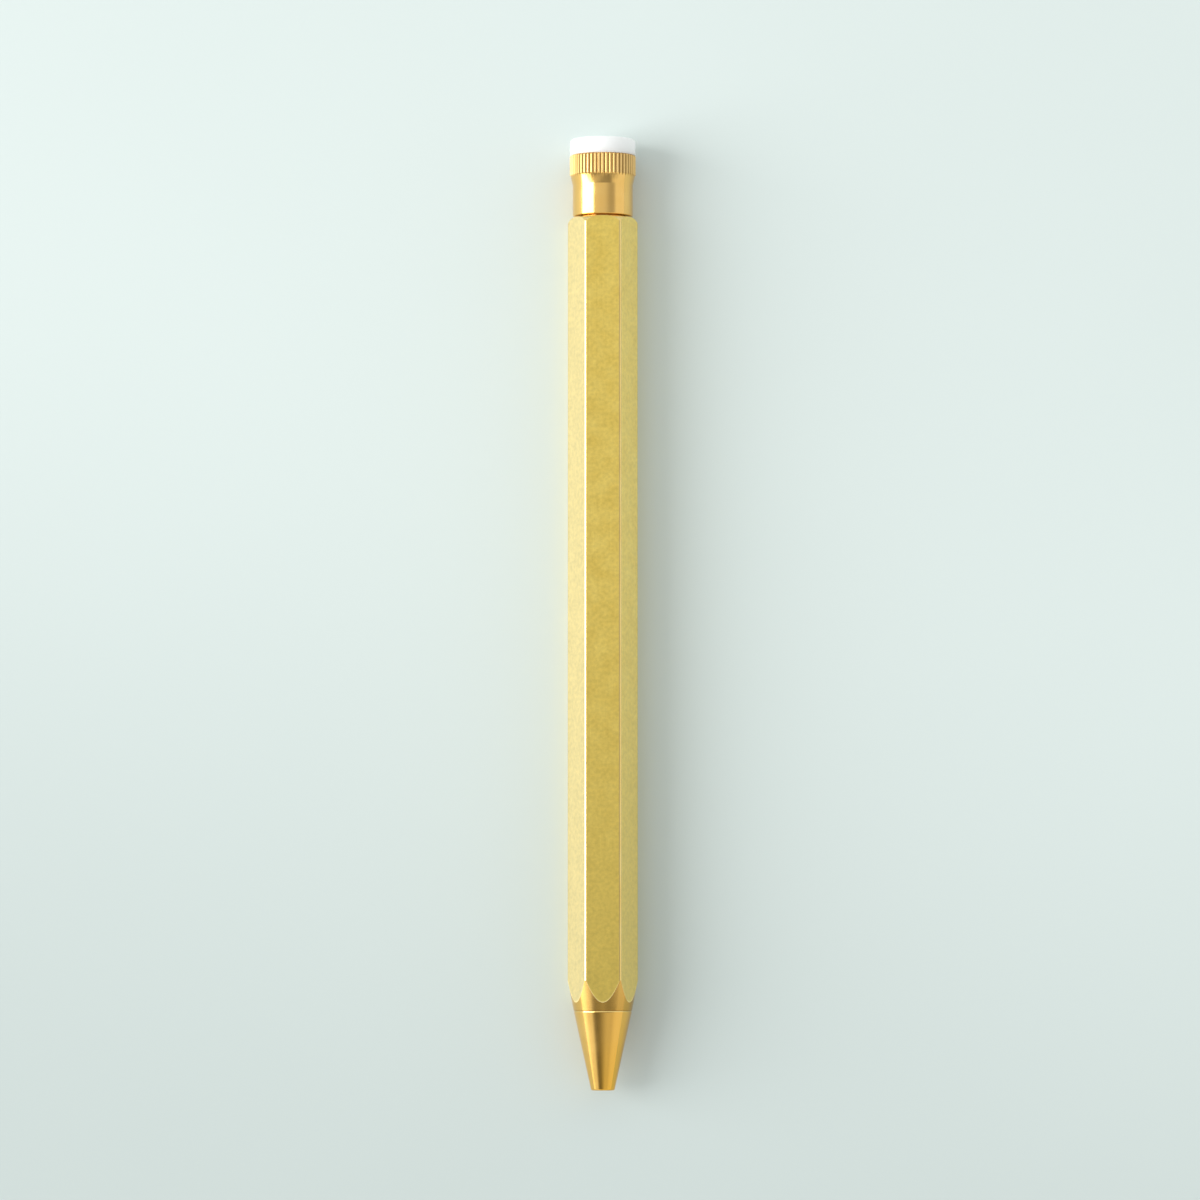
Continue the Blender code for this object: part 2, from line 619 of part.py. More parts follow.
def make_spindle(parent, finish):
    """The turning shaft: helical grooves in front, then a collar, two ring grooves and a square head."""
    lead = TRAVEL * math.tau / TWIST
    slope = math.tau * SPINDLE_RADIUS / lead
    half_width = (PIN_RADIUS + GROOVE_GAP) * math.sqrt(1 + slope**2)
    groove_end = PINS_AT + PIN_RADIUS + GROOVE_LEAD_IN
    length = groove_end - SPINDLE_AT
    twist = -math.tau * length / lead
    steps = math.ceil(abs(twist) / GROOVE_STEP)
    turn_at_front = -twist * (PINS_AT - SPINDLE_AT) / length

    # The grooved shaft is one section, raised and turned step by step.
    bm = bmesh.new()
    outline = groove_section(half_width)
    rings = []
    for k in range(steps + 1):
        angle = turn_at_front + twist * k / steps
        c, s = math.cos(angle), math.sin(angle)
        rings.append([bm.verts.new((c * x - s * y, s * x + c * y, length * k / steps)) for x, y in outline])
    for low, high in zip(rings, rings[1:]):
        for i in range(len(outline)):
            j = (i + 1) % len(outline)
            bm.faces.new((low[i], low[j], high[j], high[i]))
    bm.faces.new(rings[0])
    bm.faces.new(rings[-1])
    spindle = add_object("twist_spindle", mesh_from(bm, "twist_spindle"), parent, SPINDLE_AT, finish)

    collar = BUSH_BORE - RUNNING_GAP
    clip_floor = SPINDLE_NECK_RADIUS - CLIP_DEPTH
    brake_floor = BUSH_BORE - 2 * BRAKE_RING_RADIUS - PRESS_GAP
    brake_half = BRAKE_RING_RADIUS + SEAT_GAP
    clip_low = CLIP_AT - SEAT_GAP - COLLAR_AT
    clip_high = CLIP_AT + CLIP_THICKNESS + SEAT_GAP - COLLAR_AT
    brake_at = BRAKE_RING_AT - COLLAR_AT
    neck_end = FERRULE_AT - FERRULE_SPIGOT - SEAT_GAP - COLLAR_AT
    core = SPINDLE_RADIUS - GROOVE_DEPTH
    rear = turned(
        "spindle_rear",
        [
            (0, groove_end - OVERCUT / 2 - COLLAR_AT),
            (core / 2, groove_end - OVERCUT / 2 - COLLAR_AT),
            (SPINDLE_RADIUS + RUNNING_GAP / 2, groove_end - RUNNING_GAP - COLLAR_AT),
            (SPINDLE_RADIUS + RUNNING_GAP / 2, 0),
            (collar, 0),
            (collar, COLLAR_LENGTH),
            (SPINDLE_NECK_RADIUS, COLLAR_LENGTH),
            (SPINDLE_NECK_RADIUS, clip_low),
            (clip_floor, clip_low),
            (clip_floor, clip_high),
            (SPINDLE_NECK_RADIUS, clip_high),
            (SPINDLE_NECK_RADIUS, brake_at - brake_half),
            (brake_floor, brake_at - brake_half),
            (brake_floor, brake_at + brake_half),
            (SPINDLE_NECK_RADIUS, brake_at + brake_half),
            (SPINDLE_NECK_RADIUS, neck_end),
            (0, neck_end),
        ],
        parent,
        COLLAR_AT,
    )
    cut(spindle, rear, "UNION")
    head_root = HEAD_LEAD / 2
    head = prism(
        "spindle_head",
        [rectangle(DRIVE_SQUARE, DRIVE_SQUARE)],
        FERRULE_SPIGOT + FERRULE_WEB - SEAT_GAP + head_root,
        parent,
        FERRULE_AT - FERRULE_SPIGOT - head_root,
    )
    cut(spindle, head, "UNION")
    tap_radius = SCREW_RADIUS + PRESS_GAP
    tap = turned(
        "spindle_tap",
        [(0, 0), (tap_radius, 0), (tap_radius, SCREW_LENGTH + OVERCUT), (0, SCREW_LENGTH + OVERCUT)],
        parent,
        FERRULE_AT + FERRULE_WEB - SCREW_LENGTH - RELIEF_LENGTH,
        segments=COARSE,
    )
    cut(spindle, tap)


def make_thrust_washer(parent, finish):
    profile = ring_profile(SPINDLE_NECK_RADIUS + RUNNING_GAP, BUSH_BORE - RUNNING_GAP, 0, WASHER_THICKNESS)
    turned("thrust_washer", profile, parent, WASHER_AT, finish, COARSE)


def make_retaining_clip(parent, finish):
    """An open spring clip in the spindle's groove. It rests on the guide bush's shoulder."""
    inner = SPINDLE_NECK_RADIUS - CLIP_DEPTH + PRESS_GAP
    outer = BUSH_BORE - RUNNING_GAP
    clip = turned("retaining_clip", ring_profile(inner, outer, 0, CLIP_THICKNESS), parent, CLIP_AT, finish)
    reach = outer + OVERCUT
    gap = prism(
        "clip_opening",
        [rectangle(reach, CLIP_OPENING, reach / 2)],
        CLIP_THICKNESS + 2 * OVERCUT,
        parent,
        CLIP_AT - OVERCUT,
    )
    cut(clip, gap)


def make_brake_ring(parent, finish):
    """The rubber ring that drags in the guide bush and gives the twist its smooth feel."""
    middle = BUSH_BORE - BRAKE_RING_RADIUS - PRESS_GAP / 2
    profile = round_ring_profile(middle, BRAKE_RING_RADIUS)
    turned("brake_o_ring", profile, parent, BRAKE_RING_AT, finish, COARSE)


# Ferrule, screw and end plug

def make_ferrule(parent, finish):
    knurl_low = NECK_LENGTH + FLARE_LENGTH
    top = knurl_low + KNURL_LENGTH
    spigot = REAR_BORE - RUNNING_GAP
    pitch = math.tau / KNURL_TEETH
    ferrule = turned(
        "ferrule",
        [
            (0, -FERRULE_SPIGOT),
            (spigot, -FERRULE_SPIGOT),
            (spigot, 0),
            (NECK_RADIUS - FERRULE_EDGE, 0),
            (NECK_RADIUS, FERRULE_EDGE),
            (NECK_RADIUS, NECK_LENGTH),
            (FLARE_RADIUS, knurl_low),
            (KNURL_RADIUS, knurl_low + KNURL_RISE),
            (KNURL_RADIUS, top - FERRULE_EDGE),
            (KNURL_RADIUS - FERRULE_EDGE, top),
            (CUP_RADIUS, top),
            (CUP_RADIUS, FERRULE_WEB),
            (0, FERRULE_WEB),
        ],
        parent,
        FERRULE_AT,
        finish,
        segments=2 * KNURL_TEETH,
        start=math.pi / 2 + pitch / 4,
    )
    # One V-shaped cut between each two teeth, with a crest at the top and at the bottom of the pen.
    half_cut = pitch * (1 - KNURL_CREST_SHARE) / 2
    root = KNURL_RADIUS - KNURL_DEPTH
    reach = KNURL_RADIUS + KNURL_DEPTH
    spread = 2 * half_cut
    grooves = []
    for k in range(KNURL_TEETH):
        middle = math.pi / 2 + (k + 0.5) * pitch
        corners = [(root, middle), (reach, middle - spread), (reach, middle + spread)]
        grooves.append([(r * math.cos(a), r * math.sin(a)) for r, a in corners])
    cut_length = FLARE_LENGTH + KNURL_LENGTH + OVERCUT
    cut(ferrule, prism("knurl_cutter", grooves, cut_length, parent, FERRULE_AT + NECK_LENGTH))
    square = DRIVE_SQUARE + 2 * PRESS_GAP
    socket = prism(
        "ferrule_drive_hole",
        [rectangle(square, square)],
        FERRULE_SPIGOT + FERRULE_WEB + 2 * OVERCUT,
        parent,
        FERRULE_AT - FERRULE_SPIGOT - OVERCUT,
    )
    cut(ferrule, socket)


def make_ferrule_screw(parent, finish):
    station = FERRULE_AT + FERRULE_WEB + SEAT_GAP
    screw = turned(
        "ferrule_screw",
        [
            (0, -SCREW_LENGTH),
            (SCREW_RADIUS, -SCREW_LENGTH),
            (SCREW_RADIUS, 0),
            (SCREW_HEAD_RADIUS, 0),
            (SCREW_HEAD_RADIUS, SCREW_HEAD_HEIGHT),
            (0, SCREW_HEAD_HEIGHT),
        ],
        parent,
        station,
        finish,
        COARSE,
    )
    slot = prism(
        "screw_slot",
        [rectangle(2 * (SCREW_HEAD_RADIUS + OVERCUT), SCREW_SLOT_WIDTH)],
        SCREW_SLOT_DEPTH + OVERCUT,
        parent,
        station + SCREW_HEAD_HEIGHT - SCREW_SLOT_DEPTH,
    )
    cut(screw, slot)


def make_end_cap(parent, finish):
    """The white plug: a disc with a rounded edge, and a stem that sits in the ferrule's cup."""
    cup_floor = FERRULE_AT + FERRULE_WEB + SEAT_GAP + SCREW_HEAD_HEIGHT + CAP_SCREW_GAP
    stem_radius = CUP_RADIUS - PRESS_GAP
    edge = []
    for k in range(CAP_EDGE_STEPS + 1):
        angle = math.pi / 2 * k / CAP_EDGE_STEPS
        radius = CAP_RADIUS - CAP_EDGE * (1 - math.cos(angle))
        edge.append((radius, CAP_LENGTH - CAP_EDGE * (1 - math.sin(angle))))
    turned(
        "end_cap",
        [(0, cup_floor - CAP_AT), (stem_radius, cup_floor - CAP_AT), (stem_radius, 0), (CAP_RADIUS, 0)]
        + edge
        + [(0, CAP_LENGTH)],
        parent,
        CAP_AT,
        finish,
        segments=FINE,
    )


def main():
    clear_scene()
    satin_brass = material("satin_pale_brass", (0.62, 0.49, 0.16), 0.42, 1.0)
    turned_brass = material("turned_brass", (0.72, 0.46, 0.13), 0.22, 1.0)
    machined_brass = material("machined_brass", (0.70, 0.48, 0.17), 0.35, 1.0)
    steel = material("spring_steel", (0.55, 0.55, 0.56), 0.28, 1.0)
    carbide = material("carbide", (0.40, 0.40, 0.42), 0.10, 1.0)
    white = material("white_vinyl", (0.90, 0.90, 0.89), 0.55, 0.0)
    acetal = material("natural_acetal", (0.80, 0.79, 0.74), 0.45, 0.0)
    dark_plastic = material("dark_plastic", (0.03, 0.03, 0.035), 0.45, 0.0)
    rubber = material("black_rubber", (0.02, 0.02, 0.02), 0.70, 0.0)
    ink = material("black_ink", (0.01, 0.01, 0.02), 0.20, 0.0)

    pen = axis_empty("pen_axis", 0)
    nose = axis_empty("nose_axis", 0, pen)
    refill = axis_empty("refill_axis", REFILL_AT, pen)
    slider = axis_empty("slider_axis", 0, pen)
    head = axis_empty("head_axis", 0, pen)

    make_barrel(pen, satin_brass)
    make_guide_bush(pen, machined_brass)
    make_thrust_washer(pen, acetal)

    ring_at = make_nose_cone(nose, turned_brass)
    make_nose_ring(nose, ring_at, rubber)
    make_return_spring(nose, steel)

    make_writing_ball(refill, carbide)
    make_point(refill, steel)
    ink_at, ink_radius = make_refill_tube(refill, steel)
    make_ink(refill, ink_at, ink_radius, ink)
    make_end_plug(refill, dark_plastic)

    make_plunger(slider, acetal)
    make_drive_pins(slider, steel)

    make_spindle(head, machined_brass)
    make_retaining_clip(head, steel)
    make_brake_ring(head, rubber)
    make_ferrule(head, turned_brass)
    make_ferrule_screw(head, steel)
    make_end_cap(head, white)
    print(f"overall length {OVERALL_LENGTH / MM:.2f} mm, {2 * APOTHEM / MM:.2f} mm across flats")


main()
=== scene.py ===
# %% [markdown]
# # Dressing a hexagonal brass pen
# The pen is a length of hexagonal brass bar with a turned nose, a knurled ferrule that twists, and a white
# plug in its end. Its working parts are already solid models. This lesson loads them as a fixed frame,
# models the pieces that show once more with fine edges and real knurling, and gives every piece its finish.
# All of it could be done by hand in Blender's window with the same operators.

import json
import math

import bmesh
import bpy
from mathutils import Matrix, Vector


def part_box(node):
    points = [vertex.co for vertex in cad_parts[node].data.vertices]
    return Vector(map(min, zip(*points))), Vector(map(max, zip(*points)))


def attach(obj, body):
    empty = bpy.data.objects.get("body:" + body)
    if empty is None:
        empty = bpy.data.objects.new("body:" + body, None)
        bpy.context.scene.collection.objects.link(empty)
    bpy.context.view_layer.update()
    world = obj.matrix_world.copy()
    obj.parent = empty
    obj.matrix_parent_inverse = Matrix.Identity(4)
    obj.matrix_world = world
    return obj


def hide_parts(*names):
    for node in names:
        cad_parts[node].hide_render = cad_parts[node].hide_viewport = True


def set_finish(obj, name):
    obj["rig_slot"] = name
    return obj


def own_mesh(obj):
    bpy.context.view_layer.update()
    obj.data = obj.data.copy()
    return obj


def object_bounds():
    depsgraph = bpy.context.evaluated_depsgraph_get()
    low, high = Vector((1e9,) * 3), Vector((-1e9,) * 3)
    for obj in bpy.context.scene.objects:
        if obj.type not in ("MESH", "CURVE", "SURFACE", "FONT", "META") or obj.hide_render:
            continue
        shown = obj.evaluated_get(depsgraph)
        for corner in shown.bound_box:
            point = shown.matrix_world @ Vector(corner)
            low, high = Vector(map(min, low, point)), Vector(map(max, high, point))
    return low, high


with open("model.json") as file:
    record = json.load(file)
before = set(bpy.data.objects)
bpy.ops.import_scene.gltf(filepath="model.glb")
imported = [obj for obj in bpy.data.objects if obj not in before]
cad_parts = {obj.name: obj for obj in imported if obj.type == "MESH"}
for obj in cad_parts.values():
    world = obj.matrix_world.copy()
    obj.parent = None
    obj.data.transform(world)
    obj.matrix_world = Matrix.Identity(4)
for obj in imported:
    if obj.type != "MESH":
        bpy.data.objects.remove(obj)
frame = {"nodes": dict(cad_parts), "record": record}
cad_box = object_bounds()
nodes = frame["nodes"]

# %% [markdown]
# ## Where things are
# The pen lies along Y with its nose towards -Y. A maker measures along the pen from the end of the nose, in
# millimetres, so the lesson does the same: a place is a radius from the pen's axis and a station behind the
# nose's end. The axis, the nose's end and the flats are read from the frame, so nothing has to be fitted
# later.

# %% The axis and the stations
MM = 0.001
barrel_low, barrel_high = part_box("barrel")
AXIS_HEIGHT = (barrel_low.z + barrel_high.z) / 2
NOSE_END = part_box("nose_cone")[0].y


def at(radius, station):
    """The point straight above the axis at a radius and a station, both in millimetres."""
    return Vector((0, NOSE_END + station * MM, AXIS_HEIGHT + radius * MM))


def stations(node):
    """Where a node starts and ends along the pen, in millimetres from the nose's end."""
    low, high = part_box(node)
    return (low.y - NOSE_END) / MM, (high.y - NOSE_END) / MM


HALF_ACROSS_FLATS = (barrel_high.z - AXIS_HEIGHT) / MM
print(f"axis {AXIS_HEIGHT / MM:.2f} mm up, {2 * HALF_ACROSS_FLATS:.2f} mm across flats")

# %% [markdown]
# ## The camera
# The picture was taken from about a metre straight above the nose, with the camera tipped a little towards
# the other end, so the pen stands upright in the frame with its white plug on top. A long lens at that
# distance gives the same faint perspective. Only the distance, the point below the camera and the point in
# the middle of the frame are needed: the turn of the camera and the lens follow.

# %% Camera
CAMERA_RISE = 991.0  # over the pen's axis
BELOW_CAMERA = 13.3  # station straight under the camera
FRAME_MIDDLE = 71.71  # station in the middle of the frame
FRAME_OFFSET = -0.41  # the frame's middle lies this far left of the axis
FRAME_WIDTH = 175.9  # what the frame spans at the pen
CLIP = (0.01, 20.0)  # m, the nearest and the farthest that is shown

camera_data = bpy.data.cameras.new("camera")
camera = bpy.data.objects.new("camera", camera_data)
bpy.context.scene.collection.objects.link(camera)
bpy.context.scene.camera = camera
offset = Vector((FRAME_OFFSET * MM, 0, 0))
target = at(0, FRAME_MIDDLE) + offset
camera.location = at(CAMERA_RISE, BELOW_CAMERA) + offset
camera.rotation_euler = (target - camera.location).to_track_quat("-Z", "Y").to_euler()
camera_data.lens = camera_data.sensor_width * (target - camera.location).length / (FRAME_WIDTH * MM)
camera_data.clip_start, camera_data.clip_end = CLIP
print(f"lens {camera_data.lens:.1f} mm")

# %% [markdown]
# ## Colours and nodes
# A colour is easiest to pick as a hex value, as a paint program shows it. The renderer counts light in even
# steps instead, so one function turns hex into linear colour. A second function fills the inputs of a node:
# a plain value is set there, and another node is linked by its output. A third adds a node with its options
# and fills it. A Mix node has inputs for several kinds of value, so those for colours get names.

# %% Helpers for finishes
SHARE, FIRST, SECOND = 0, 6, 7


def colour(hex_value):
    """A hex colour as linear red, green, blue and alpha."""
    shares = [int(hex_value[i:i + 2], 16) / 255 for i in (1, 3, 5)]
    linear = [s / 12.92 if s <= 0.04045 else ((s + 0.055) / 1.055) ** 2.4 for s in shares]
    return (*linear, 1.0)


def feed(node, inputs):
    """Fills inputs of a node, each with a plain value, with another node or with one of its outputs."""
    for name, value in inputs.items():
        if isinstance(value, bpy.types.Node):
            value = next(output for output in value.outputs if output.enabled)
        if isinstance(value, bpy.types.NodeSocket):
            node.id_data.links.new(value, node.inputs[name])
        else:
            node.inputs[name].default_value = value


def add(tree, kind, inputs=None, **options):
    """Adds a shader node of a kind, such as Mix, with its options, and fills its inputs."""
    node = tree.nodes.new("ShaderNode" + kind)
    for name, value in options.items():
        setattr(node, name, value)
    feed(node, inputs or {})
    return node


def new_finish(name):
    """An empty material with its shader, ready for patterns."""
    made = bpy.data.materials.new(name)
    made.use_nodes = True
    return made, made.node_tree, made.node_tree.nodes["Principled BSDF"]


print("white is", colour("#FFFFFF"))

# %% [markdown]
# ## The table
# The pen lies on a pale, slightly green table. It is one large plane of painted board with a faint
# unevenness in its colour. Towards the nose it is painted a little darker, as painted shade where the light
# falls off. It belongs to the stage and not to the pen.

# %% Floor
TABLE_SIZE = 6.0
SHADED_TABLE_PAINT, LIT_TABLE_PAINT = "#BFC9C7", "#D7E1DF"
PAINTED_FALLOFF = (-0.12, 0.04)  # m along the pen, from the darker to the paler paint
FALLOFF_TURN = 17  # degrees by which the fade runs across the pen
PAINT_CLOUD = 60.0  # mm, soft patches in the paint
CLOUD_SHARE = 0.1  # what the patches add to the fade
PAINT_ROUGHNESS = 0.7

bpy.ops.object.select_all(action="DESELECT")
bpy.ops.mesh.primitive_plane_add(size=TABLE_SIZE, location=(0, 0, cad_box[0].z))
table = bpy.context.object
table.name = "table"

table_paint, tree, shader = new_finish("pale_painted_board")
place = add(tree, "TexCoord").outputs["Object"]
turned_place = add(tree, "Mapping", {"Vector": place, "Rotation": (0, 0, math.radians(FALLOFF_TURN))})
along = add(tree, "SeparateXYZ", {"Vector": turned_place}).outputs["Y"]
clouds = add(tree, "TexNoise", {"Vector": place, "Scale": 1 / (PAINT_CLOUD * MM)})
# painted shade: the paint fades darker towards the nose, where the light falls off
falloff_share = add(tree, "MapRange", {
    "Value": along, "From Min": PAINTED_FALLOFF[0], "From Max": PAINTED_FALLOFF[1], "To Max": 1 - CLOUD_SHARE},
    interpolation_type="SMOOTHSTEP")
mottle = add(tree, "Math", {0: clouds, 1: CLOUD_SHARE, 2: falloff_share}, operation="MULTIPLY_ADD")
tint = add(tree, "Mix", {
    SHARE: mottle, FIRST: colour(SHADED_TABLE_PAINT), SECOND: colour(LIT_TABLE_PAINT)}, data_type="RGBA")
feed(shader, {"Base Color": tint, "Roughness": PAINT_ROUGHNESS})
table.data.materials.append(table_paint)
print("table at", table.location.z)

# %% [markdown]
# ## Light
# Brass shows what stands round it, so the light is built as a small studio: a bright window on the left
# with a pale curtain beside it, a pale wall on the right, and an even room. The window makes the white
# streak on the turned parts and the soft shadow. All three stand upright and face straight across the pen.

# %% Window, curtain and wall
PANELS = {  # middle in m, width, height, brightness
    "window": ((-1.20, 0.05, 0.90), 0.80, 1.60, 5.6),
    "curtain": ((-1.20, -0.43, 0.75), 0.16, 1.42, 0.9),
    "wall": ((0.70, -0.05, 0.36), 1.40, 0.68, 0.05),
}

for name, (middle, width, height, brightness) in PANELS.items():
    lamp_data = bpy.data.lights.new(name, "AREA")
    lamp_data.shape = "RECTANGLE"
    lamp_data.size, lamp_data.size_y = width, height
    lamp_data.energy = brightness * math.pi * width * height
    lamp = bpy.data.objects.new(name, lamp_data)
    bpy.context.scene.collection.objects.link(lamp)
    lamp.location = middle
    lamp.rotation_euler = Vector((-middle[0], 0, 0)).to_track_quat("-Z", "Y").to_euler()
print("lights:", ", ".join(PANELS))

# %% [markdown]
# The room itself is even, with a few dim places overhead, where a photographer would hang dark cards. They
# give the turned parts their brown middles. A place overhead is told by how far a direction leans to the
# right and towards the plug for each step up, and each card is an ellipse there, turned by some degrees,
# with a soft rim.

# %% Room with dark cards
ROOM_LIGHT = 0.90
ROOM_COLOUR = "#FCFFFD"
CARDS = [  # lean right, lean to the plug, half width, half depth, turn, how dark, soft share
    (0.15, -0.16, 1.20, 0.34, 0, 0.66, 0.8),
    (0.50, -0.35, 0.32, 0.075, 0, 0.50, 0.6),
    (0.82, -0.487, 1.10, 0.07, -10, 0.60, 0.4),
    (-0.42, -0.53, 0.95, 0.18, 0, 0.88, 0.8),
    (0.74, 0.13, 0.70, 0.22, 0, 0.48, 0.8),
]

room = bpy.data.worlds.new("room")
bpy.context.scene.world = room
room.use_nodes = True
tree = room.node_tree
direction = add(tree, "TexCoord").outputs["Generated"]
rise = add(tree, "SeparateXYZ", {"Vector": direction}).outputs["Z"]
per_rise = add(tree, "Math", {0: 1.0, 1: rise}, operation="DIVIDE")
leans = add(tree, "VectorMath", {"Vector": direction, "Scale": per_rise}, operation="SCALE")
light = ROOM_LIGHT
for right, back, half_width, half_depth, turned, dark, soft in CARDS:
    card = add(tree, "Mapping", {
        "Vector": leans, "Location": (right, back, 1), "Rotation": (0, 0, math.radians(turned)),
        "Scale": (half_width, half_depth, 1)}, vector_type="TEXTURE")
    spot = add(tree, "TexGradient", {"Vector": card}, gradient_type="SPHERICAL").outputs["Fac"]
    left_over = add(tree, "MapRange", {
        "Value": spot, "From Max": soft, "To Min": 1.0, "To Max": 1 - dark},
        interpolation_type="SMOOTHSTEP")
    light = add(tree, "Math", {0: left_over, 1: light}, operation="MULTIPLY")
feed(tree.nodes["Background"], {"Color": colour(ROOM_COLOUR), "Strength": light})
bpy.context.scene.view_settings.view_transform = "Standard"
print("room with", len(CARDS), "cards")

# %% [markdown]
# ## Profiles
# Most of the pen comes off a lathe, so most pieces start as a profile: a chain of points, each with a
# radius and a station. A round stretch is worked out as an arc. Sharp corners never survive on a real pen.
# A Bevel modifier could soften them on the finished piece, but it is simpler and cleaner to ease them in
# the profile.

# %% Helpers for profiles
EASE = 0.06  # mm, the softness of a deburred edge
EASE_STEPS = 3
EASE_LIMIT = 0.45  # the largest share of a side that a corner takes, so that two never meet


def arc(radius, station, size, first, last, steps=8):
    """Profile points on a round stretch, with angles in degrees from straight out towards the plug."""
    turns = [math.radians(first + (last - first) * k / steps) for k in range(steps + 1)]
    return [(radius + size * math.cos(t), station + size * math.sin(t)) for t in turns]


def eased(profile, size=EASE):
    """A closed profile, or one that starts and ends on the axis, with its corners softened.

    A corner may bring its own softness as a third value, and 0 keeps it sharp."""
    points = [Vector(p[:2]) for p in profile]
    softened = []
    for k, corner in enumerate(points):
        before, after = points[k - 1], points[(k + 1) % len(points)]
        own_size = profile[k][2] if len(profile[k]) > 2 else size
        if corner.x == 0 or own_size == 0:
            softened.append(corner)
            continue
        shorter = min((before - corner).length, (after - corner).length)
        trim = min(own_size, shorter * EASE_LIMIT)
        start = corner + (before - corner).normalized() * trim
        end = corner + (after - corner).normalized() * trim
        for step in range(EASE_STEPS + 1):
            t = step / EASE_STEPS
            softened.append(start * (1 - t) ** 2 + corner * 2 * t * (1 - t) + end * t ** 2)
    return [tuple(p) for p in softened]


print("edges are eased by", EASE, "mm")

# %% [markdown]
# ## The lathe
# Blender's lathe is Spin. A plane is added and its corners are merged to one point, which is extruded from
# place to place along the profile. The chain is then spun once round the axis, its first and last copies
# are welded, and its faces are turned outwards. A Screw modifier could do the same, but Spin needs no
# modifier.

# %% Lathe
TURN_WELD = 0.001  # mm, points closer than this become one


def turn(name, profile, sides):
    """Spins a profile of (radius, station) points round the pen's axis into a closed piece."""
    bpy.ops.object.select_all(action="DESELECT")
    bpy.ops.mesh.primitive_plane_add(size=MM, location=at(*profile[0]))
    piece = bpy.context.object
    piece.name = name
    bpy.ops.object.mode_set(mode="EDIT")
    bpy.ops.mesh.merge(type="CENTER")
    route = profile if profile[0][0] == 0 else profile + profile[:1]
    for here, there in zip(route, route[1:]):
        step = at(*there) - at(*here)
        bpy.ops.mesh.extrude_vertices_move(TRANSFORM_OT_translate={"value": step})
    bpy.ops.mesh.select_all(action="SELECT")
    bpy.ops.mesh.spin(steps=sides, angle=math.tau, center=at(0, 0), axis=(0, 1, 0))
    bpy.ops.mesh.select_all(action="SELECT")
    bpy.ops.mesh.remove_doubles(threshold=TURN_WELD * MM)
    bpy.ops.mesh.normals_make_consistent(inside=False)
    bpy.ops.object.mode_set(mode="OBJECT")
    bpy.ops.object.transform_apply()
    return piece


print("lathe ready")

# %% [markdown]
# ## The barrel
# The barrel is hexagon bar. On the lathe its front is turned to a cone, which leaves a scallop where each
# flat runs out, its rear is crowned, and it is bored through. It could be lofted ring by ring, but a
# Boolean does what the lathe did: the bar is cut back to a turned envelope that has the bores in it too.
# The envelope comes first.

# %% What the lathe leaves of the bar
HALF_SIDE = 30  # degrees, half the turn from one flat to the next
BASE_INSET = 0.235  # nose and barrel meet this far inside the flats
FRONT_ANGLE = 11.1  # degrees
REAR_FACE_RADIUS = 4.45
REAR_CROWN = 1.5
FRONT_BORE, FRONT_BORE_END = 3.75, 18.67
REFILL_BORE, REFILL_BORE_END = 3.15, 103.40
REAR_BORE = 3.50
CLEAR_OF_BAR = 6.0  # a radius outside the bar

barrel_start, barrel_end = stations("barrel")
corner_radius = HALF_ACROSS_FLATS / math.cos(math.radians(HALF_SIDE))
base_radius = HALF_ACROSS_FLATS - BASE_INSET
front_cone_end = barrel_start + (CLEAR_OF_BAR - base_radius) / math.tan(math.radians(FRONT_ANGLE))
crown_middle = corner_radius - REAR_CROWN
crown_turn = math.acos((REAR_FACE_RADIUS - crown_middle) / REAR_CROWN)
crown_start = barrel_end - REAR_CROWN * math.sin(crown_turn)
envelope = turn("envelope", eased([
    (FRONT_BORE, barrel_start),
    (base_radius, barrel_start, 0),
    (CLEAR_OF_BAR, front_cone_end),
    (CLEAR_OF_BAR, crown_start),
    *arc(crown_middle, crown_start, REAR_CROWN, 0, math.degrees(crown_turn)),
    (REAR_BORE, barrel_end),
    (REAR_BORE, REFILL_BORE_END),
    (REFILL_BORE, REFILL_BORE_END),
    (REFILL_BORE, FRONT_BORE_END),
    (FRONT_BORE, FRONT_BORE_END),
]), sides=180)
print(f"envelope: cone from {barrel_start:.2f}, crown from {crown_start:.2f}")

# %% [markdown]
# The bar itself is a six-sided cylinder with one flat on top. Drawing through a die leaves its long edges a
# little round, so they are selected by their length and bevelled. A cut can leave corners almost on each
# other, so they are merged after it.

# %% Hexagon bar
EDGE_RADIUS = 0.40
EDGE_SEGMENTS = 6
BAR_SPARE = 2.0  # mm of bar past either end, for the lathe to take off
CUT_WELD = 0.002  # mm, corners closer than this become one


def cut(piece, tool, operation="DIFFERENCE"):
    """Cuts a piece with a tool, throws the tool away, and merges corners that lie almost on each other."""
    modifier = piece.modifiers.new("cut", "BOOLEAN")
    modifier.operation = operation
    modifier.object = tool
    bpy.context.view_layer.objects.active = piece
    bpy.ops.object.modifier_apply(modifier="cut")
    bpy.data.objects.remove(tool)
    bpy.ops.object.mode_set(mode="EDIT")
    bpy.ops.mesh.select_all(action="SELECT")
    bpy.ops.mesh.remove_doubles(threshold=CUT_WELD * MM)
    bpy.ops.object.mode_set(mode="OBJECT")


bar_length = barrel_end - barrel_start + 2 * BAR_SPARE
bpy.ops.object.select_all(action="DESELECT")
bpy.ops.mesh.primitive_cylinder_add(
    vertices=6,
    radius=corner_radius * MM,
    depth=bar_length * MM,
    location=at(0, (barrel_start + barrel_end) / 2),
    rotation=(math.radians(90), math.radians(HALF_SIDE), 0),
)
barrel = bpy.context.object
barrel.name = "hexagon_barrel"
bpy.ops.object.transform_apply()
bpy.ops.object.mode_set(mode="EDIT")
bpy.ops.mesh.select_mode(type="EDGE")
bpy.ops.mesh.select_all(action="DESELECT")
bar = bmesh.from_edit_mesh(barrel.data)
for edge in bar.edges:
    edge.select_set(abs((edge.verts[0].co - edge.verts[1].co).y) > bar_length * MM / 2)
bmesh.update_edit_mesh(barrel.data)
edge_offset = EDGE_RADIUS * math.tan(math.radians(HALF_SIDE))
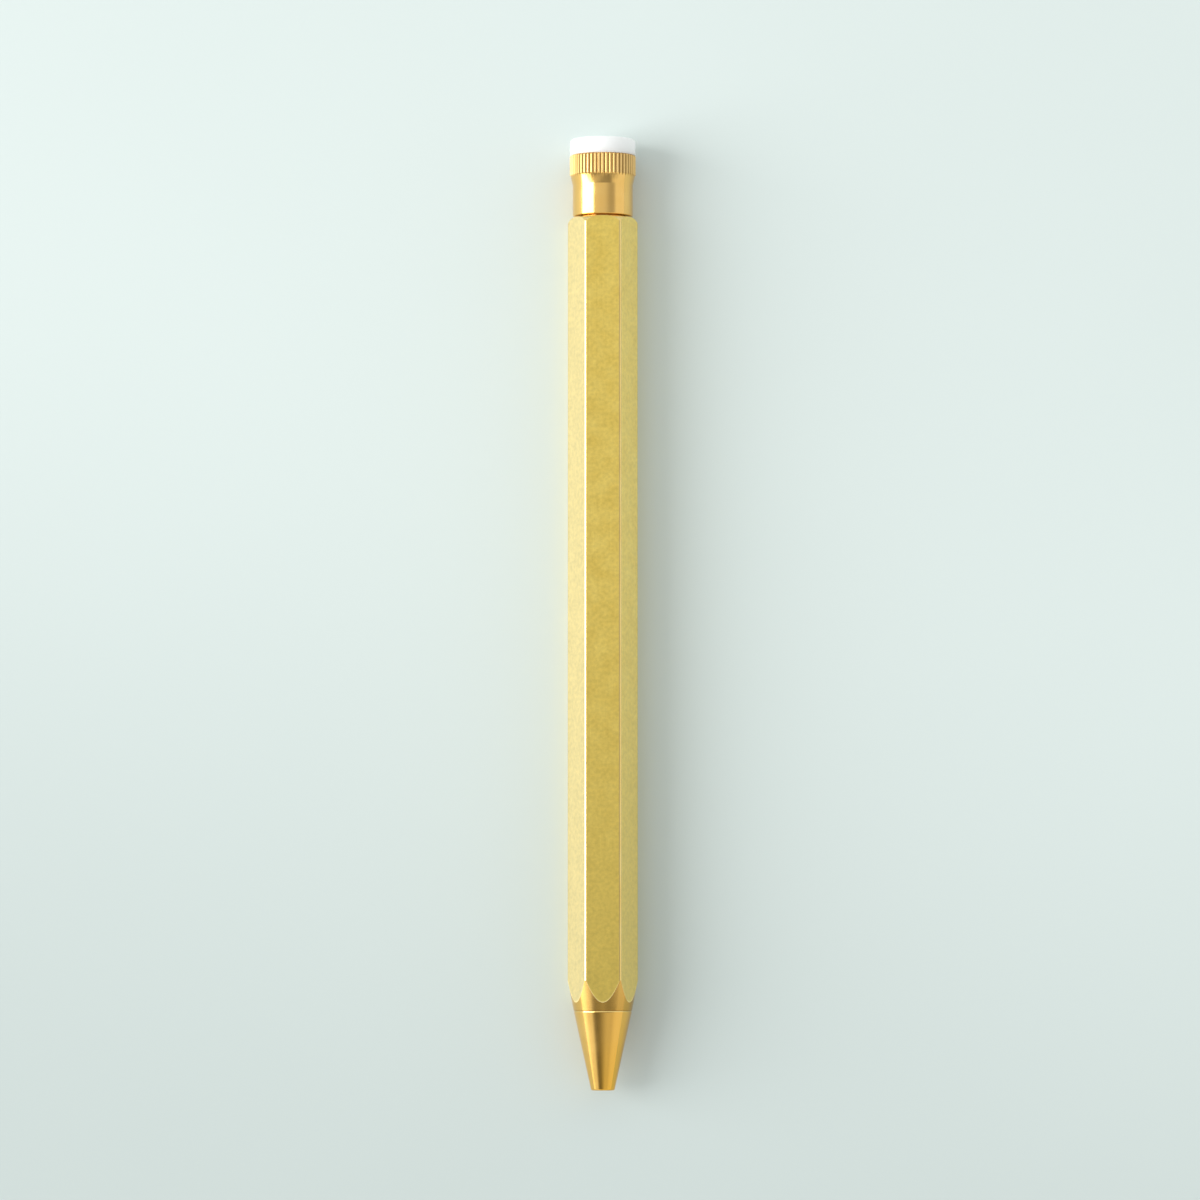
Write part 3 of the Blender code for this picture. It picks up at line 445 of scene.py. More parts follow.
bpy.ops.mesh.bevel(offset=edge_offset * MM, segments=EDGE_SEGMENTS)
bpy.ops.mesh.select_mode(type="VERT")
bpy.ops.object.mode_set(mode="OBJECT")
cut(barrel, envelope, "INTERSECT")
print("barrel:", len(barrel.data.polygons), "faces after turning")

# %% [markdown]
# The rim of each scallop, and the rim of the rear crown, is where a turned face meets the bar. Those edges
# are found by their two faces, one along the pen and one sloping, and are marked sharp, so that the flats
# stay flat and the cone stays round right up to the rim.

# %% Rims of the scallops
ALONG_PEN = 0.02  # the most that the normal of a face along the pen points endwise
END_FACE = 0.95  # the least that the normal of an end face does
RIM_DEPTH = 0.05  # mm, no rim lies deeper under the flats


def off_axis(point):
    """How far a point lies from the pen's axis, in millimetres."""
    return math.hypot(point.x, point.z - AXIS_HEIGHT) / MM


bpy.ops.object.mode_set(mode="EDIT")
bpy.ops.mesh.select_mode(type="EDGE")
bpy.ops.mesh.select_all(action="DESELECT")
bar = bmesh.from_edit_mesh(barrel.data)
rims = 0
for edge in bar.edges:
    slopes = sorted(abs(face.normal.y) for face in edge.link_faces)
    edge_middle = (edge.verts[0].co + edge.verts[1].co) / 2
    outside = off_axis(edge_middle) > HALF_ACROSS_FLATS - RIM_DEPTH
    if outside and len(slopes) == 2 and slopes[0] < ALONG_PEN < slopes[1] < END_FACE:
        edge.select_set(True)
        rims += 1
bmesh.update_edit_mesh(barrel.data)
bpy.ops.mesh.mark_sharp()
bpy.ops.mesh.select_mode(type="VERT")
bpy.ops.object.mode_set(mode="OBJECT")
print("rim edges:", rims)

# %% [markdown]
# A mesh is made of flat facets, and a turned face should look round. Shading it smooth up to an angle hides
# the facets and keeps the edges. Weighted normals then let the broadest face at each corner decide, so that
# the small eased edges don't bend the light on the large faces beside them.

# %% Smooth shading
BROAD_FACES = 100  # the full weight for broad faces


def smooth(piece, angle=50):
    """Shades a piece smooth up to an angle in degrees, with the broadest face at each corner in charge."""
    bpy.ops.object.select_all(action="DESELECT")
    piece.select_set(True)
    bpy.context.view_layer.objects.active = piece
    bpy.ops.object.shade_smooth_by_angle(angle=math.radians(angle))
    modifier = piece.modifiers.new("broad_faces", "WEIGHTED_NORMAL")
    modifier.keep_sharp = True
    modifier.weight = BROAD_FACES
    bpy.ops.object.modifier_apply(modifier="broad_faces")
    size = [round(v / MM, 2) for v in piece.dimensions]
    print(f"{piece.name}: {len(piece.data.polygons)} faces, {size} mm")


smooth(barrel)
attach(barrel, "barrel")
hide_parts("barrel")
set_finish(barrel, "satin_pale_brass")

# %% [markdown]
# ## The nose cone
# The nose carries the barrel's cone on to a small flat end with the hole for the point. Behind it is the
# spigot that screws into the barrel, with a groove for its rubber ring, and inside are the spring's chamber
# and its ledge. It could be put together from cones and cylinders with Booleans, but one profile holds the
# outside and the bores alike, so it is turned in one go.

# %% Nose cone
TIP_RADIUS = 1.71
TIP_HOLE = 1.30
TIP_CHAMFER = 0.13
SPIGOT_RADIUS = 3.70
SPIGOT_CHAMFER = 0.20
RING_GROOVE_HALF = 0.23
RING_GROOVE_FLOOR = 3.34
RING_FROM_END = 1.4
NOSE_BORE = 3.05
CHAMBER_RADIUS = 2.2
CHAMBER_CONE = (9.2, 12.2)  # stations where the chamber widens to the bore
SPRING_LEDGE = 5.0
THREAD_RELIEF = (0.8, 0.30)  # how long and how deep the groove is where the thread runs out
PARTING_LINE = 0.01  # between nose and barrel
PARTING_EDGE = (0.085, 0.20)  # the nose's rear edge is eased this far in and along

nose_base = barrel_start - PARTING_LINE
tip_slope = (base_radius - TIP_RADIUS) / nose_base
spigot_end = stations("nose_cone")[1]
ring_station = spigot_end - RING_FROM_END
nose = turn("turned_nose", eased([
    (TIP_HOLE, TIP_CHAMFER),
    (TIP_HOLE + TIP_CHAMFER, 0),
    (TIP_RADIUS - TIP_CHAMFER, 0),
    (TIP_RADIUS + tip_slope * TIP_CHAMFER, TIP_CHAMFER),
    (base_radius - tip_slope * PARTING_EDGE[1], nose_base - PARTING_EDGE[1]),
    (base_radius - PARTING_EDGE[0], nose_base),
    (SPIGOT_RADIUS - THREAD_RELIEF[1], nose_base),
    (SPIGOT_RADIUS - THREAD_RELIEF[1], nose_base + THREAD_RELIEF[0]),
    (SPIGOT_RADIUS, nose_base + THREAD_RELIEF[0]),
    (SPIGOT_RADIUS, ring_station - RING_GROOVE_HALF),
    (RING_GROOVE_FLOOR, ring_station - RING_GROOVE_HALF),
    (RING_GROOVE_FLOOR, ring_station + RING_GROOVE_HALF),
    (SPIGOT_RADIUS, ring_station + RING_GROOVE_HALF),
    (SPIGOT_RADIUS, spigot_end - SPIGOT_CHAMFER),
    (SPIGOT_RADIUS - SPIGOT_CHAMFER, spigot_end),
    (NOSE_BORE, spigot_end),
    (NOSE_BORE, CHAMBER_CONE[1]),
    (CHAMBER_RADIUS, CHAMBER_CONE[0]),
    (CHAMBER_RADIUS, SPRING_LEDGE),
    (TIP_HOLE, SPRING_LEDGE),
]), sides=144)
print(f"nose: {nose_base:.2f} mm of cone, spigot to {spigot_end:.2f}")

# %% [markdown]
# ## Winding
# A thread and a spring are made alike: an outline stands beside the axis and is carried round and along at
# the same time. A curve with a thickness could follow such a path, but the Screw modifier sweeps the
# outline in one step and leaves an even mesh. Its two open ends are then filled.

# %% Helper for wound shapes


def wound(name, corners, size, start, pitch, turns, steps, turned=0):
    """Sweeps a many-cornered outline round the pen's axis into a closed piece, with sizes in millimetres.

    The outline starts at a radius and a station, and may be turned by some degrees."""
    radius, station = start
    bpy.ops.object.select_all(action="DESELECT")
    bpy.ops.mesh.primitive_circle_add(
        vertices=corners,
        radius=size * MM,
        location=at(0, station) + Vector((radius * MM, 0, 0)),
        rotation=(0, 0, math.radians(turned)),
    )
    piece = bpy.context.object
    piece.name = name
    bpy.ops.object.transform_apply()
    bpy.context.scene.cursor.location = at(0, 0)
    bpy.ops.object.origin_set(type="ORIGIN_CURSOR")
    modifier = piece.modifiers.new("path", "SCREW")
    modifier.axis = "Y"
    modifier.screw_offset = pitch * MM
    modifier.iterations = turns
    modifier.steps = modifier.render_steps = steps
    bpy.ops.object.modifier_apply(modifier="path")
    bpy.ops.object.transform_apply()
    bpy.ops.object.mode_set(mode="EDIT")
    bpy.ops.mesh.select_all(action="SELECT")
    bpy.ops.mesh.fill_holes(sides=0)
    bpy.ops.mesh.select_all(action="SELECT")
    bpy.ops.mesh.normals_make_consistent(inside=False)
    bpy.ops.object.mode_set(mode="OBJECT")
    print(f"{name}: {turns} turns, {pitch:.2f} mm apart")
    return piece


print("winder ready")

# %% [markdown]
# The spigot's thread is a V-shaped groove. A three-sided tool, as deep as the thread, stands at the
# spigot's surface with its point towards the axis, and what it sweeps is taken away from the spigot, as on
# the lathe. It starts in the relief groove and ends short of the ring.

# %% Thread on the spigot
THREAD_PITCH = 0.50
THREAD_DEPTH = 0.28
LAND_BY_RING = 0.45

thread_start = nose_base + THREAD_RELIEF[0] - THREAD_DEPTH
thread_length = ring_station - RING_GROOVE_HALF - LAND_BY_RING - thread_start
thread = wound("thread", corners=3, size=THREAD_DEPTH, turned=90, start=(SPIGOT_RADIUS, thread_start),
               pitch=THREAD_PITCH, turns=int(thread_length / THREAD_PITCH), steps=48)
cut(nose, thread)
smooth(nose)
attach(nose, "nose")
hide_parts("nose_cone")
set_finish(nose, "turned_brass")

# %% [markdown]
# ## The ferrule
# The ferrule is the collar that is twisted. It has a plain neck, a flare and a rim, with a cup behind for
# the white plug and a spigot in front that runs in the barrel. It is turned as a blank first.

# %% Ferrule
NECK_RADIUS = 4.43
NECK_LENGTH = 4.6
FLARE_RADIUS, FLARE_LENGTH = 4.74, 1.4
KNURL_RADIUS, KNURL_LENGTH = 4.835, 3.0
KNURL_TEETH = 52
FERRULE_EDGE = 0.15
FERRULE_SPIGOT_RADIUS = 3.40
FERRULE_SPIGOT = 3.2
FERRULE_WEB = 3.8
CUP_RADIUS = 3.64

ferrule_start = stations("ferrule")[0] + FERRULE_SPIGOT
flare_end = ferrule_start + NECK_LENGTH + FLARE_LENGTH
knurl_end = flare_end + KNURL_LENGTH
ferrule = turn("knurled_ferrule", eased([
    (0, ferrule_start - FERRULE_SPIGOT),
    (FERRULE_SPIGOT_RADIUS, ferrule_start - FERRULE_SPIGOT),
    (FERRULE_SPIGOT_RADIUS, ferrule_start),
    (NECK_RADIUS - FERRULE_EDGE, ferrule_start),
    (NECK_RADIUS, ferrule_start + FERRULE_EDGE),
    (NECK_RADIUS, ferrule_start + NECK_LENGTH),
    (FLARE_RADIUS, flare_end),
    (KNURL_RADIUS, flare_end + KNURL_RADIUS - FLARE_RADIUS),
    (KNURL_RADIUS, knurl_end - FERRULE_EDGE),
    (KNURL_RADIUS - FERRULE_EDGE, knurl_end),
    (CUP_RADIUS, knurl_end),
    (CUP_RADIUS, ferrule_start + FERRULE_WEB),
    (0, ferrule_start + FERRULE_WEB),
]), sides=4 * KNURL_TEETH)
print(f"ferrule blank: neck from {ferrule_start:.2f}, rim to {knurl_end:.2f}")

# %% [markdown]
# A knurling wheel presses straight V-shaped grooves into the rim, which run out to points on the flare. One
# three-sided cutter is made and spun round the axis as copies, and all are taken away from the blank in one
# cut. The cutter's point lies at the grooves' floor, and it widens so that about a third of each tooth is
# left as crest. Its first place is half a tooth from the top, so that a crest shows straight up.

# %% Knurling
KNURL_DEPTH = 0.155
CREST_SHARE = 0.30
CUTTER_SPARE = 1.0  # mm of cutter past the rim
TRIANGLE_HEIGHT = 1.5  # of an even triangle, for each unit of its outer radius

pitch = math.tau / KNURL_TEETH
half_groove = KNURL_RADIUS * pitch * (1 - CREST_SHARE) / 2
cutter_radius = 2 * KNURL_DEPTH / TRIANGLE_HEIGHT
cutter_start = ferrule_start + NECK_LENGTH
cutter_end = knurl_end + CUTTER_SPARE
bpy.ops.object.select_all(action="DESELECT")
bpy.ops.mesh.primitive_cylinder_add(
    vertices=3,
    radius=cutter_radius * MM,
    depth=(cutter_end - cutter_start) * MM,
    location=at(KNURL_RADIUS - KNURL_DEPTH + cutter_radius, (cutter_start + cutter_end) / 2),
    rotation=(math.radians(-90), 0, 0),
)
cutter = bpy.context.object
bpy.ops.object.transform_apply()
half_width = max(v.co.x for v in cutter.data.vertices) / MM
bpy.ops.object.mode_set(mode="EDIT")
bpy.ops.mesh.select_all(action="SELECT")
bpy.ops.transform.resize(value=(2 * half_groove / half_width, 1, 1))
bpy.ops.mesh.spin(steps=1, angle=pitch / 2, center=at(0, 0), axis=(0, 1, 0), dupli=True)
bpy.ops.mesh.select_all(action="INVERT")
bpy.ops.mesh.delete(type="VERT")
bpy.ops.mesh.select_all(action="SELECT")
bpy.ops.mesh.spin(
    steps=KNURL_TEETH - 1, angle=math.tau - pitch, center=at(0, 0), axis=(0, 1, 0), dupli=True)
bpy.ops.mesh.select_all(action="SELECT")
bpy.ops.mesh.normals_make_consistent(inside=False)
bpy.ops.object.mode_set(mode="OBJECT")
print("knurl cutter:", len(cutter.data.vertices) // 6, "grooves")
cut(ferrule, cutter)

# %% [markdown]
# The spindle turns with the ferrule because its head is square. A long square tool cuts the hole for it
# through the ferrule's spigot and web.

# %% Square for the spindle
DRIVE_SQUARE = 2.7
DRIVE_REACH = 8  # the tool is this many times as long as it is wide

bpy.ops.object.select_all(action="DESELECT")
bpy.ops.mesh.primitive_cube_add(size=DRIVE_SQUARE * MM, location=at(0, ferrule_start))
drive = bpy.context.object
bpy.ops.transform.resize(value=(1, DRIVE_REACH, 1))
bpy.ops.object.transform_apply()
cut(ferrule, drive)
smooth(ferrule, angle=35)
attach(ferrule, "twist_head")
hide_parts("ferrule")
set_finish(ferrule, "turned_brass")

# %% [markdown]
# ## The white plug
# A moulded plug closes the ferrule. It is a disc with a well-rounded edge, and a stem that sits in the
# ferrule's cup. Two cylinders with bevelled edges would do, but a profile with an arc makes it one closed
# piece.

# %% End plug
PLUG_RADIUS = 4.815
PLUG_EDGE = 0.55
PLUG_SHOWS = 2.4
STEM_RADIUS = 3.59

stem_start, plug_end = stations("end_cap")
plug_start = plug_end - PLUG_SHOWS
plug = turn("white_plug", [
    (0, stem_start),
    (STEM_RADIUS, stem_start),
    (STEM_RADIUS, plug_start),
    (PLUG_RADIUS - EASE, plug_start),
    (PLUG_RADIUS, plug_start + EASE),
    *arc(PLUG_RADIUS - PLUG_EDGE, plug_end - PLUG_EDGE, PLUG_EDGE, 0, 90, steps=10),
    (0, plug_end),
], sides=128)
smooth(plug)
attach(plug, "twist_head")
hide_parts("end_cap")
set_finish(plug, "white_vinyl")

# %% [markdown]
# ## The refill
# The refill starts with its writing ball, which turns freely in the point. Blender has a ready sphere, but
# a half circle on the lathe sits at its station at once, like all the other pieces.

# %% Writing ball
REFILL_START = 2.0
BALL_RADIUS = 0.50
BALL_STEP = 6  # degrees from one ring of faces to the next

ball_middle = REFILL_START + BALL_RADIUS
ball = turn("carbide_ball", [
    (0, REFILL_START),
    *arc(0, ball_middle, BALL_RADIUS, BALL_STEP - 90, 90 - BALL_STEP, steps=180 // BALL_STEP - 2),
    (0, REFILL_START + 2 * BALL_RADIUS),
], sides=48)
smooth(ball)
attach(ball, "ball")
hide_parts("writing_ball")
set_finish(ball, "carbide")

# %% [markdown]
# The point is a small turned cone whose rim is pressed in round the ball. An ink channel runs through it,
# and its tang sits in the tube. The rim's bore follows from how much of the ball shows, so the ball stays
# held when one of them is changed.

# %% Refill point
BALL_SHOWS = 0.28
BALL_GAP = 0.04
POINT_RADIUS = 1.15
POINT_CONE = 2.8
POINT_EASE = 0.04
RIM_WALL = 0.10
TANG_RADIUS = 0.85
TANG_LENGTH = 3.8
INK_CHANNEL = 0.25
SHOULDER = 14.5  # the station where the tube starts
PRESS_GAP = 0.05

rim_station = REFILL_START + BALL_SHOWS
rim_bore = math.sqrt(BALL_RADIUS ** 2 - (BALL_RADIUS - BALL_SHOWS) ** 2) + BALL_GAP
point = turn("refill_point", eased([
    (rim_bore, rim_station),
    (rim_bore + RIM_WALL, rim_station),
    (POINT_RADIUS, rim_station + POINT_CONE),
    (POINT_RADIUS, SHOULDER - PRESS_GAP),
    (TANG_RADIUS, SHOULDER - PRESS_GAP),
    (TANG_RADIUS, SHOULDER + TANG_LENGTH),
    (INK_CHANNEL, SHOULDER + TANG_LENGTH),
    (INK_CHANNEL, ball_middle + BALL_RADIUS + BALL_GAP),
    (BALL_RADIUS + BALL_GAP, ball_middle + BALL_RADIUS / 2),
    (BALL_RADIUS + BALL_GAP, ball_middle),
], POINT_EASE), sides=64)
smooth(point)
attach(point, "refill")
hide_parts("point_tip")
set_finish(point, "spring_steel")

# %% [markdown]
# The refill's body is a metal tube, drawn to a cone in front, with a socket for the point's tang. Its flat
# shoulder takes the push of the spring. It shows when the nose is off.

# %% Refill tube
SHOULDER_RADIUS = 2.1
TUBE_RADIUS = 2.95
TUBE_WALL = 0.35
TUBE_CONE = 3.0
SOCKET_RADIUS = 0.90
SOCKET_END = 18.95

tube_end = stations("refill_tube")[1]
tube = turn("refill_body", eased([
    (SOCKET_RADIUS, SHOULDER),
    (SHOULDER_RADIUS, SHOULDER),
    (TUBE_RADIUS, SHOULDER + TUBE_CONE),
    (TUBE_RADIUS, tube_end),
    (TUBE_RADIUS - TUBE_WALL, tube_end),
    (TUBE_RADIUS - TUBE_WALL, SOCKET_END),
    (SOCKET_RADIUS, SOCKET_END),
]), sides=96)
smooth(tube)
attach(tube, "refill")
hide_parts("refill_tube")
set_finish(tube, "spring_steel")

# %% [markdown]
# ## The return spring
# The spring is one round wire, wound from a circle the size of the wire. The nose holds the spring's front
# end, and the refill squeezes it as it comes out.

# %% Return spring
WIRE_RADIUS = 0.175
COIL_RADIUS = 1.80
COIL_TURNS = 8
WIRE_ANGLE = 40  # degrees up to which the wire looks round

spring_start, spring_end = stations("return_spring")
coil_rise = spring_end - spring_start - 2 * WIRE_RADIUS
spring = wound("return_coil", corners=14, size=WIRE_RADIUS, start=(COIL_RADIUS, spring_start + WIRE_RADIUS),
               pitch=coil_rise / COIL_TURNS, turns=COIL_TURNS, steps=36)
bpy.ops.object.shade_smooth_by_angle(angle=math.radians(WIRE_ANGLE))
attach(spring, "nose")
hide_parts("return_spring")
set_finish(spring, "spring_steel")
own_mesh(spring)

# %% [markdown]
# ## The rubber ring on the spigot
# A small round ring keeps the nose from working loose. Blender has a ready torus, but a circle drawn as an
# arc goes on the lathe as everything else does.

# %% Nose ring
RING_RADIUS = 0.18
RING_PROUD = 0.025  # mm that the ring stands out of its groove
RING_STEP = 12  # degrees from one corner of the circle to the next

ring_middle = SPIGOT_RADIUS - RING_RADIUS + RING_PROUD
ring_circle = arc(ring_middle, ring_station, RING_RADIUS, 0, 360 - RING_STEP, steps=360 // RING_STEP - 1)
ring = turn("nose_ring", ring_circle, sides=72)
smooth(ring)
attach(ring, "nose")
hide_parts("nose_o_ring")
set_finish(ring, "black_rubber")

# %% [markdown]
# ## Finishes
# No real surface has one flat colour. A picture of the metal could be wrapped round each piece, but it
# would bring its own light with it. So each finish starts from soft patches of noise that shift its colour
# and its gloss a little, and then gets the marks of how it was made. All patterns lie in the piece's own
# coordinates, with sizes in real millimetres.

# %% A clouded start for every finish
NOISE_SPAN = (0.3, 0.7)  # nearly all of a noise lies between these

finishes = {}


def clouded(name, patch, hues, roughness, metallic=1.0):
    """Starts a finish, by default a metal, whose colour and gloss drift in soft patches of a size in mm."""
    finishes[name], tree, shader = new_finish(name)
    place = add(tree, "TexCoord").outputs["Object"]
    patches = add(tree, "TexNoise", {"Vector": place, "Scale": 1 / (patch * MM), "Detail": 4.0})
    share = add(tree, "MapRange", {"Value": patches, "From Min": NOISE_SPAN[0], "From Max": NOISE_SPAN[1]})
    tint = add(tree, "Mix", {
        SHARE: share, FIRST: colour(hues[0]), SECOND: colour(hues[1])}, data_type="RGBA")
    gloss = add(tree, "MapRange", {"Value": share, "To Min": roughness[0], "To Max": roughness[1]})
    feed(shader, {"Base Color": tint, "Roughness": gloss, "Metallic": metallic})
    print("finish:", name)
    return tree, shader, place


def so_far(shader, socket):
    """The pattern that goes into a socket of the shader up to now."""
    return shader.inputs[socket].links[0].from_socket


print("every finish starts with patches")

# %% [markdown]
# The bar keeps the satin skin of drawn brass. Light spreads on it without a clear reflection, and pale
# patches and a fine grain break it up. At a slant the skin has a pale sheen. Towards the nose it is painted
# a little darker, as painted shade where the light falls off along the pen. The flats on the left, which
# face the window, are painted paler than the others, as a painted highlight.

# %% Satin brass
SATIN_PATCH = 2.2
SATIN_GRAIN = 0.55  # mm, coarser than the real grain so that the picture can show it
GRAIN_SHADE = (0.92, 1.07)  # what the grain does to the colour
SHADE_STATIONS = (75.0, 15.0)  # stations, from the unshaded skin to the painted shade
SHADED_BRASS = "#E8CA62"
LIT_FLATS_FROM = (2.3, 2.9)  # mm to the left of the axis, across the long edge
LIT_FLATS_BRASS = "#F6DC94"
SATIN_SHEEN = 0.5

tree, shader, place = clouded(
    "satin_pale_brass", SATIN_PATCH, hues=("#F3D163", "#F8DA71"), roughness=(0.31, 0.37))
grain = add(tree, "TexNoise", {"Vector": place, "Scale": 1 / (SATIN_GRAIN * MM), "Detail": 3.0})
shade = add(tree, "MapRange", {
    "Value": grain, "From Min": NOISE_SPAN[0], "From Max": NOISE_SPAN[1], "To Min": GRAIN_SHADE[0],
    "To Max": GRAIN_SHADE[1]})
here = add(tree, "SeparateXYZ", {"Vector": place}).outputs
# painted shade: the skin is darkened towards the nose
nose_shade = add(tree, "MapRange", {
    "Value": here["Y"], "From Min": at(0, SHADE_STATIONS[0]).y, "From Max": at(0, SHADE_STATIONS[1]).y})
nose_shaded = add(tree, "Mix", {
    SHARE: nose_shade, FIRST: so_far(shader, "Base Color"), SECOND: colour(SHADED_BRASS)}, data_type="RGBA")
# painted highlight: the flats on the left, towards the window, are painted paler
lit_flats = add(tree, "MapRange", {
    "Value": here["X"], "From Min": -LIT_FLATS_FROM[0] * MM, "From Max": -LIT_FLATS_FROM[1] * MM})
lit_flats_paled = add(tree, "Mix", {SHARE: lit_flats, FIRST: nose_shaded, SECOND: colour(LIT_FLATS_BRASS)}, data_type="RGBA")
grained = add(tree, "Mix", {
    SHARE: 1.0, FIRST: lit_flats_paled, SECOND: shade}, data_type="RGBA", blend_type="MULTIPLY")
feed(shader, {"Base Color": grained, "Sheen Weight": SATIN_SHEEN})

# %% [markdown]
# Lines run along the bar from the drawing die. With the grain they make the skin uneven, and a Bump node
# turns that into dents, which spread the light across the pen. Real dents would take millions of faces.

# %% Drawing lines
DRAW_LINE = 0.12  # mm across, coarser than the real lines so that the picture can show them
DRAW_LENGTH = 30.0
GRAIN_TO_LINE = 0.4  # the height of the grain against that of the lines
SKIN_DEPTH = 0.020


def streaked(tree, place, width, length):
    """A pattern of streaks along the pen, with sizes in mm."""
    pulled = add(tree, "Mapping", {
        "Vector": place, "Scale": [1 / (size * MM) for size in (width, length, width)]})
    return add(tree, "TexNoise", {"Vector": pulled, "Scale": 1.0})


lines = streaked(tree, place, DRAW_LINE, DRAW_LENGTH)
skin = add(tree, "Math", {0: grain, 1: GRAIN_TO_LINE, 2: lines}, operation="MULTIPLY_ADD")
dents = add(tree, "Bump", {"Height": skin, "Distance": SKIN_DEPTH * MM, "Strength": 1.0})
feed(shader, {"Normal": dents})
print("drawing lines", DRAW_LENGTH, "mm long")

# %% [markdown]
# Where the lathe cut into the flats, the tool has left a fine burr along their rims, which is rougher than
# the skin. Its pale colour is a painted highlight: the thin line of light that such a rim catches. A flat
# is near such a rim where it lies only just under the turned surface. So the finish works out the radius of
# the front cone and of the rear crown at each station, and compares it with the distance from the axis.

# %% Burrs and painted highlights on the rims of the flats
BURR = 0.035  # mm under the turned surface
RIM_HIGHLIGHT_BRASS = "#F9E6A8"
BURR_ROUGHNESS = 0.75


def distance_from_axis(tree, place):
    """How far a place on a finish lies from the pen's axis, in m."""
    across = add(tree, "Mapping", {"Vector": place, "Location": (0, 0, -AXIS_HEIGHT), "Scale": (1, 0, 1)})
    return add(tree, "VectorMath", {0: across}, operation="LENGTH")


cone = add(tree, "MapRange", {
    "Value": here["Y"], "From Min": at(0, barrel_start).y, "From Max": at(0, front_cone_end).y,
    "To Min": base_radius * MM, "To Max": CLEAR_OF_BAR * MM})
into = add(tree, "MapRange", {
    "Value": here["Y"], "From Min": at(0, crown_start).y, "From Max": at(0, crown_start + REAR_CROWN).y})
squared = add(tree, "Math", {0: into, 1: into}, operation="MULTIPLY")
remaining = add(tree, "Math", {0: 1.0, 1: squared}, operation="SUBTRACT")
bulge = add(tree, "Math", {0: remaining}, operation="SQRT")
crown = add(tree, "Math", {0: bulge, 1: REAR_CROWN * MM, 2: crown_middle * MM}, operation="MULTIPLY_ADD")
turned_radius = add(tree, "Math", {0: cone, 1: crown}, operation="MINIMUM")
under = add(tree, "Math", {0: turned_radius, 1: distance_from_axis(tree, place)}, operation="SUBTRACT")
burr_and_highlight = add(tree, "MapRange", {
    "Value": under, "From Max": BURR * MM, "To Min": 1.0, "To Max": 0.0}, interpolation_type="SMOOTHSTEP")
# painted highlight: the rims are painted pale, while the rougher gloss is the burr
rim_highlighted = add(tree, "Mix", {SHARE: burr_and_highlight, FIRST: grained, SECOND: colour(RIM_HIGHLIGHT_BRASS)}, data_type="RGBA")
dulled = add(tree, "MapRange", {
    "Value": burr_and_highlight, "To Min": so_far(shader, "Roughness"), "To Max": BURR_ROUGHNESS})
feed(shader, {"Base Color": rim_highlighted, "Roughness": dulled})
print(f"burrs follow the cone from {barrel_start:.2f} and the crown from {crown_start:.2f}")

# %% [markdown]
# Hands and pockets have rubbed the bar's long edges. There the skin is worn off to smooth, pale metal that
# catches the light as a thin line. The pale colour is partly a painted highlight, on these edges and also
# on the crown and the nose's rear edge, where it paints the line of light that they catch. Its few nicks
# are a grain that dents the surface, a mark that many of the finishes share.

# %% Burnished brass
RUB = 4.0  # mm, the length of a rubbed stretch


def pitted(tree, shader, place, grain, depth, strength=0.5):
    """Dents a finish with a grain. Its size and its depth are in mm."""
    pattern = add(tree, "TexNoise", {"Vector": place, "Scale": 1 / (grain * MM)})
    pits = add(tree, "Bump", {"Height": pattern, "Distance": depth * MM, "Strength": strength})
    feed(shader, {"Normal": pits})


tree, shader, place = clouded("burnished_brass", RUB, hues=("#EDCB80", "#F2D690"), roughness=(0.15, 0.22))
pitted(tree, shader, place, SATIN_GRAIN, depth=0.006)

# %% [markdown]
# Nose and ferrule are bare and bright from the lathe. They mirror the room with a slight blur, and the tool
# has left fine rings round them. Handling dulls them in patches. The nose is held most and has ripened to a
# deeper gold, while the cone of the barrel behind it is browner. On the left, where the window is
# reflected, the deeper gold and the brown are mostly left off, as a painted highlight.

# %% Turned brass
TOOL_RING = 0.30  # mm between rings, coarser than the real ones so that the picture can show them
FINGER_PATCH = 3.0
HELD_TO = 25.0  # the station where the deeper gold ends
HELD_BRASS = "#EDB54B"
LIT_SIDE_TURN = (22, 6)  # degrees round to the left of the top, from pale brass to deeper gold
LIT_SIDE_GOLD = 0.3  # the share of the deeper gold that is left on the painted highlight
CONE_BROWN = "#A88440"


def ringed(tree, shader, place, spacing, depth, strength, detail):
    """Leaves the rings of a lathe's tool round the pen. Spacing and depth are in mm."""
    along = add(tree, "SeparateXYZ", {"Vector": place}).outputs["Y"]
    rings = add(tree, "TexNoise", {
        "W": along, "Scale": 1 / (spacing * MM), "Detail": detail}, noise_dimensions="1D")
    ridges = add(tree, "Bump", {"Height": rings, "Distance": depth * MM, "Strength": strength})
    feed(shader, {"Normal": ridges})


tree, shader, place = clouded(
    "turned_brass", FINGER_PATCH, hues=("#F1C06C", "#F5C878"), roughness=(0.13, 0.18))
ringed(tree, shader, place, TOOL_RING, depth=0.003, strength=0.4, detail=3.0)
here = add(tree, "SeparateXYZ", {"Vector": place}).outputs
forward = add(tree, "MapRange", {"Value": here["Y"], "From Min": at(0, HELD_TO).y, "From Max": at(0, 0).y})
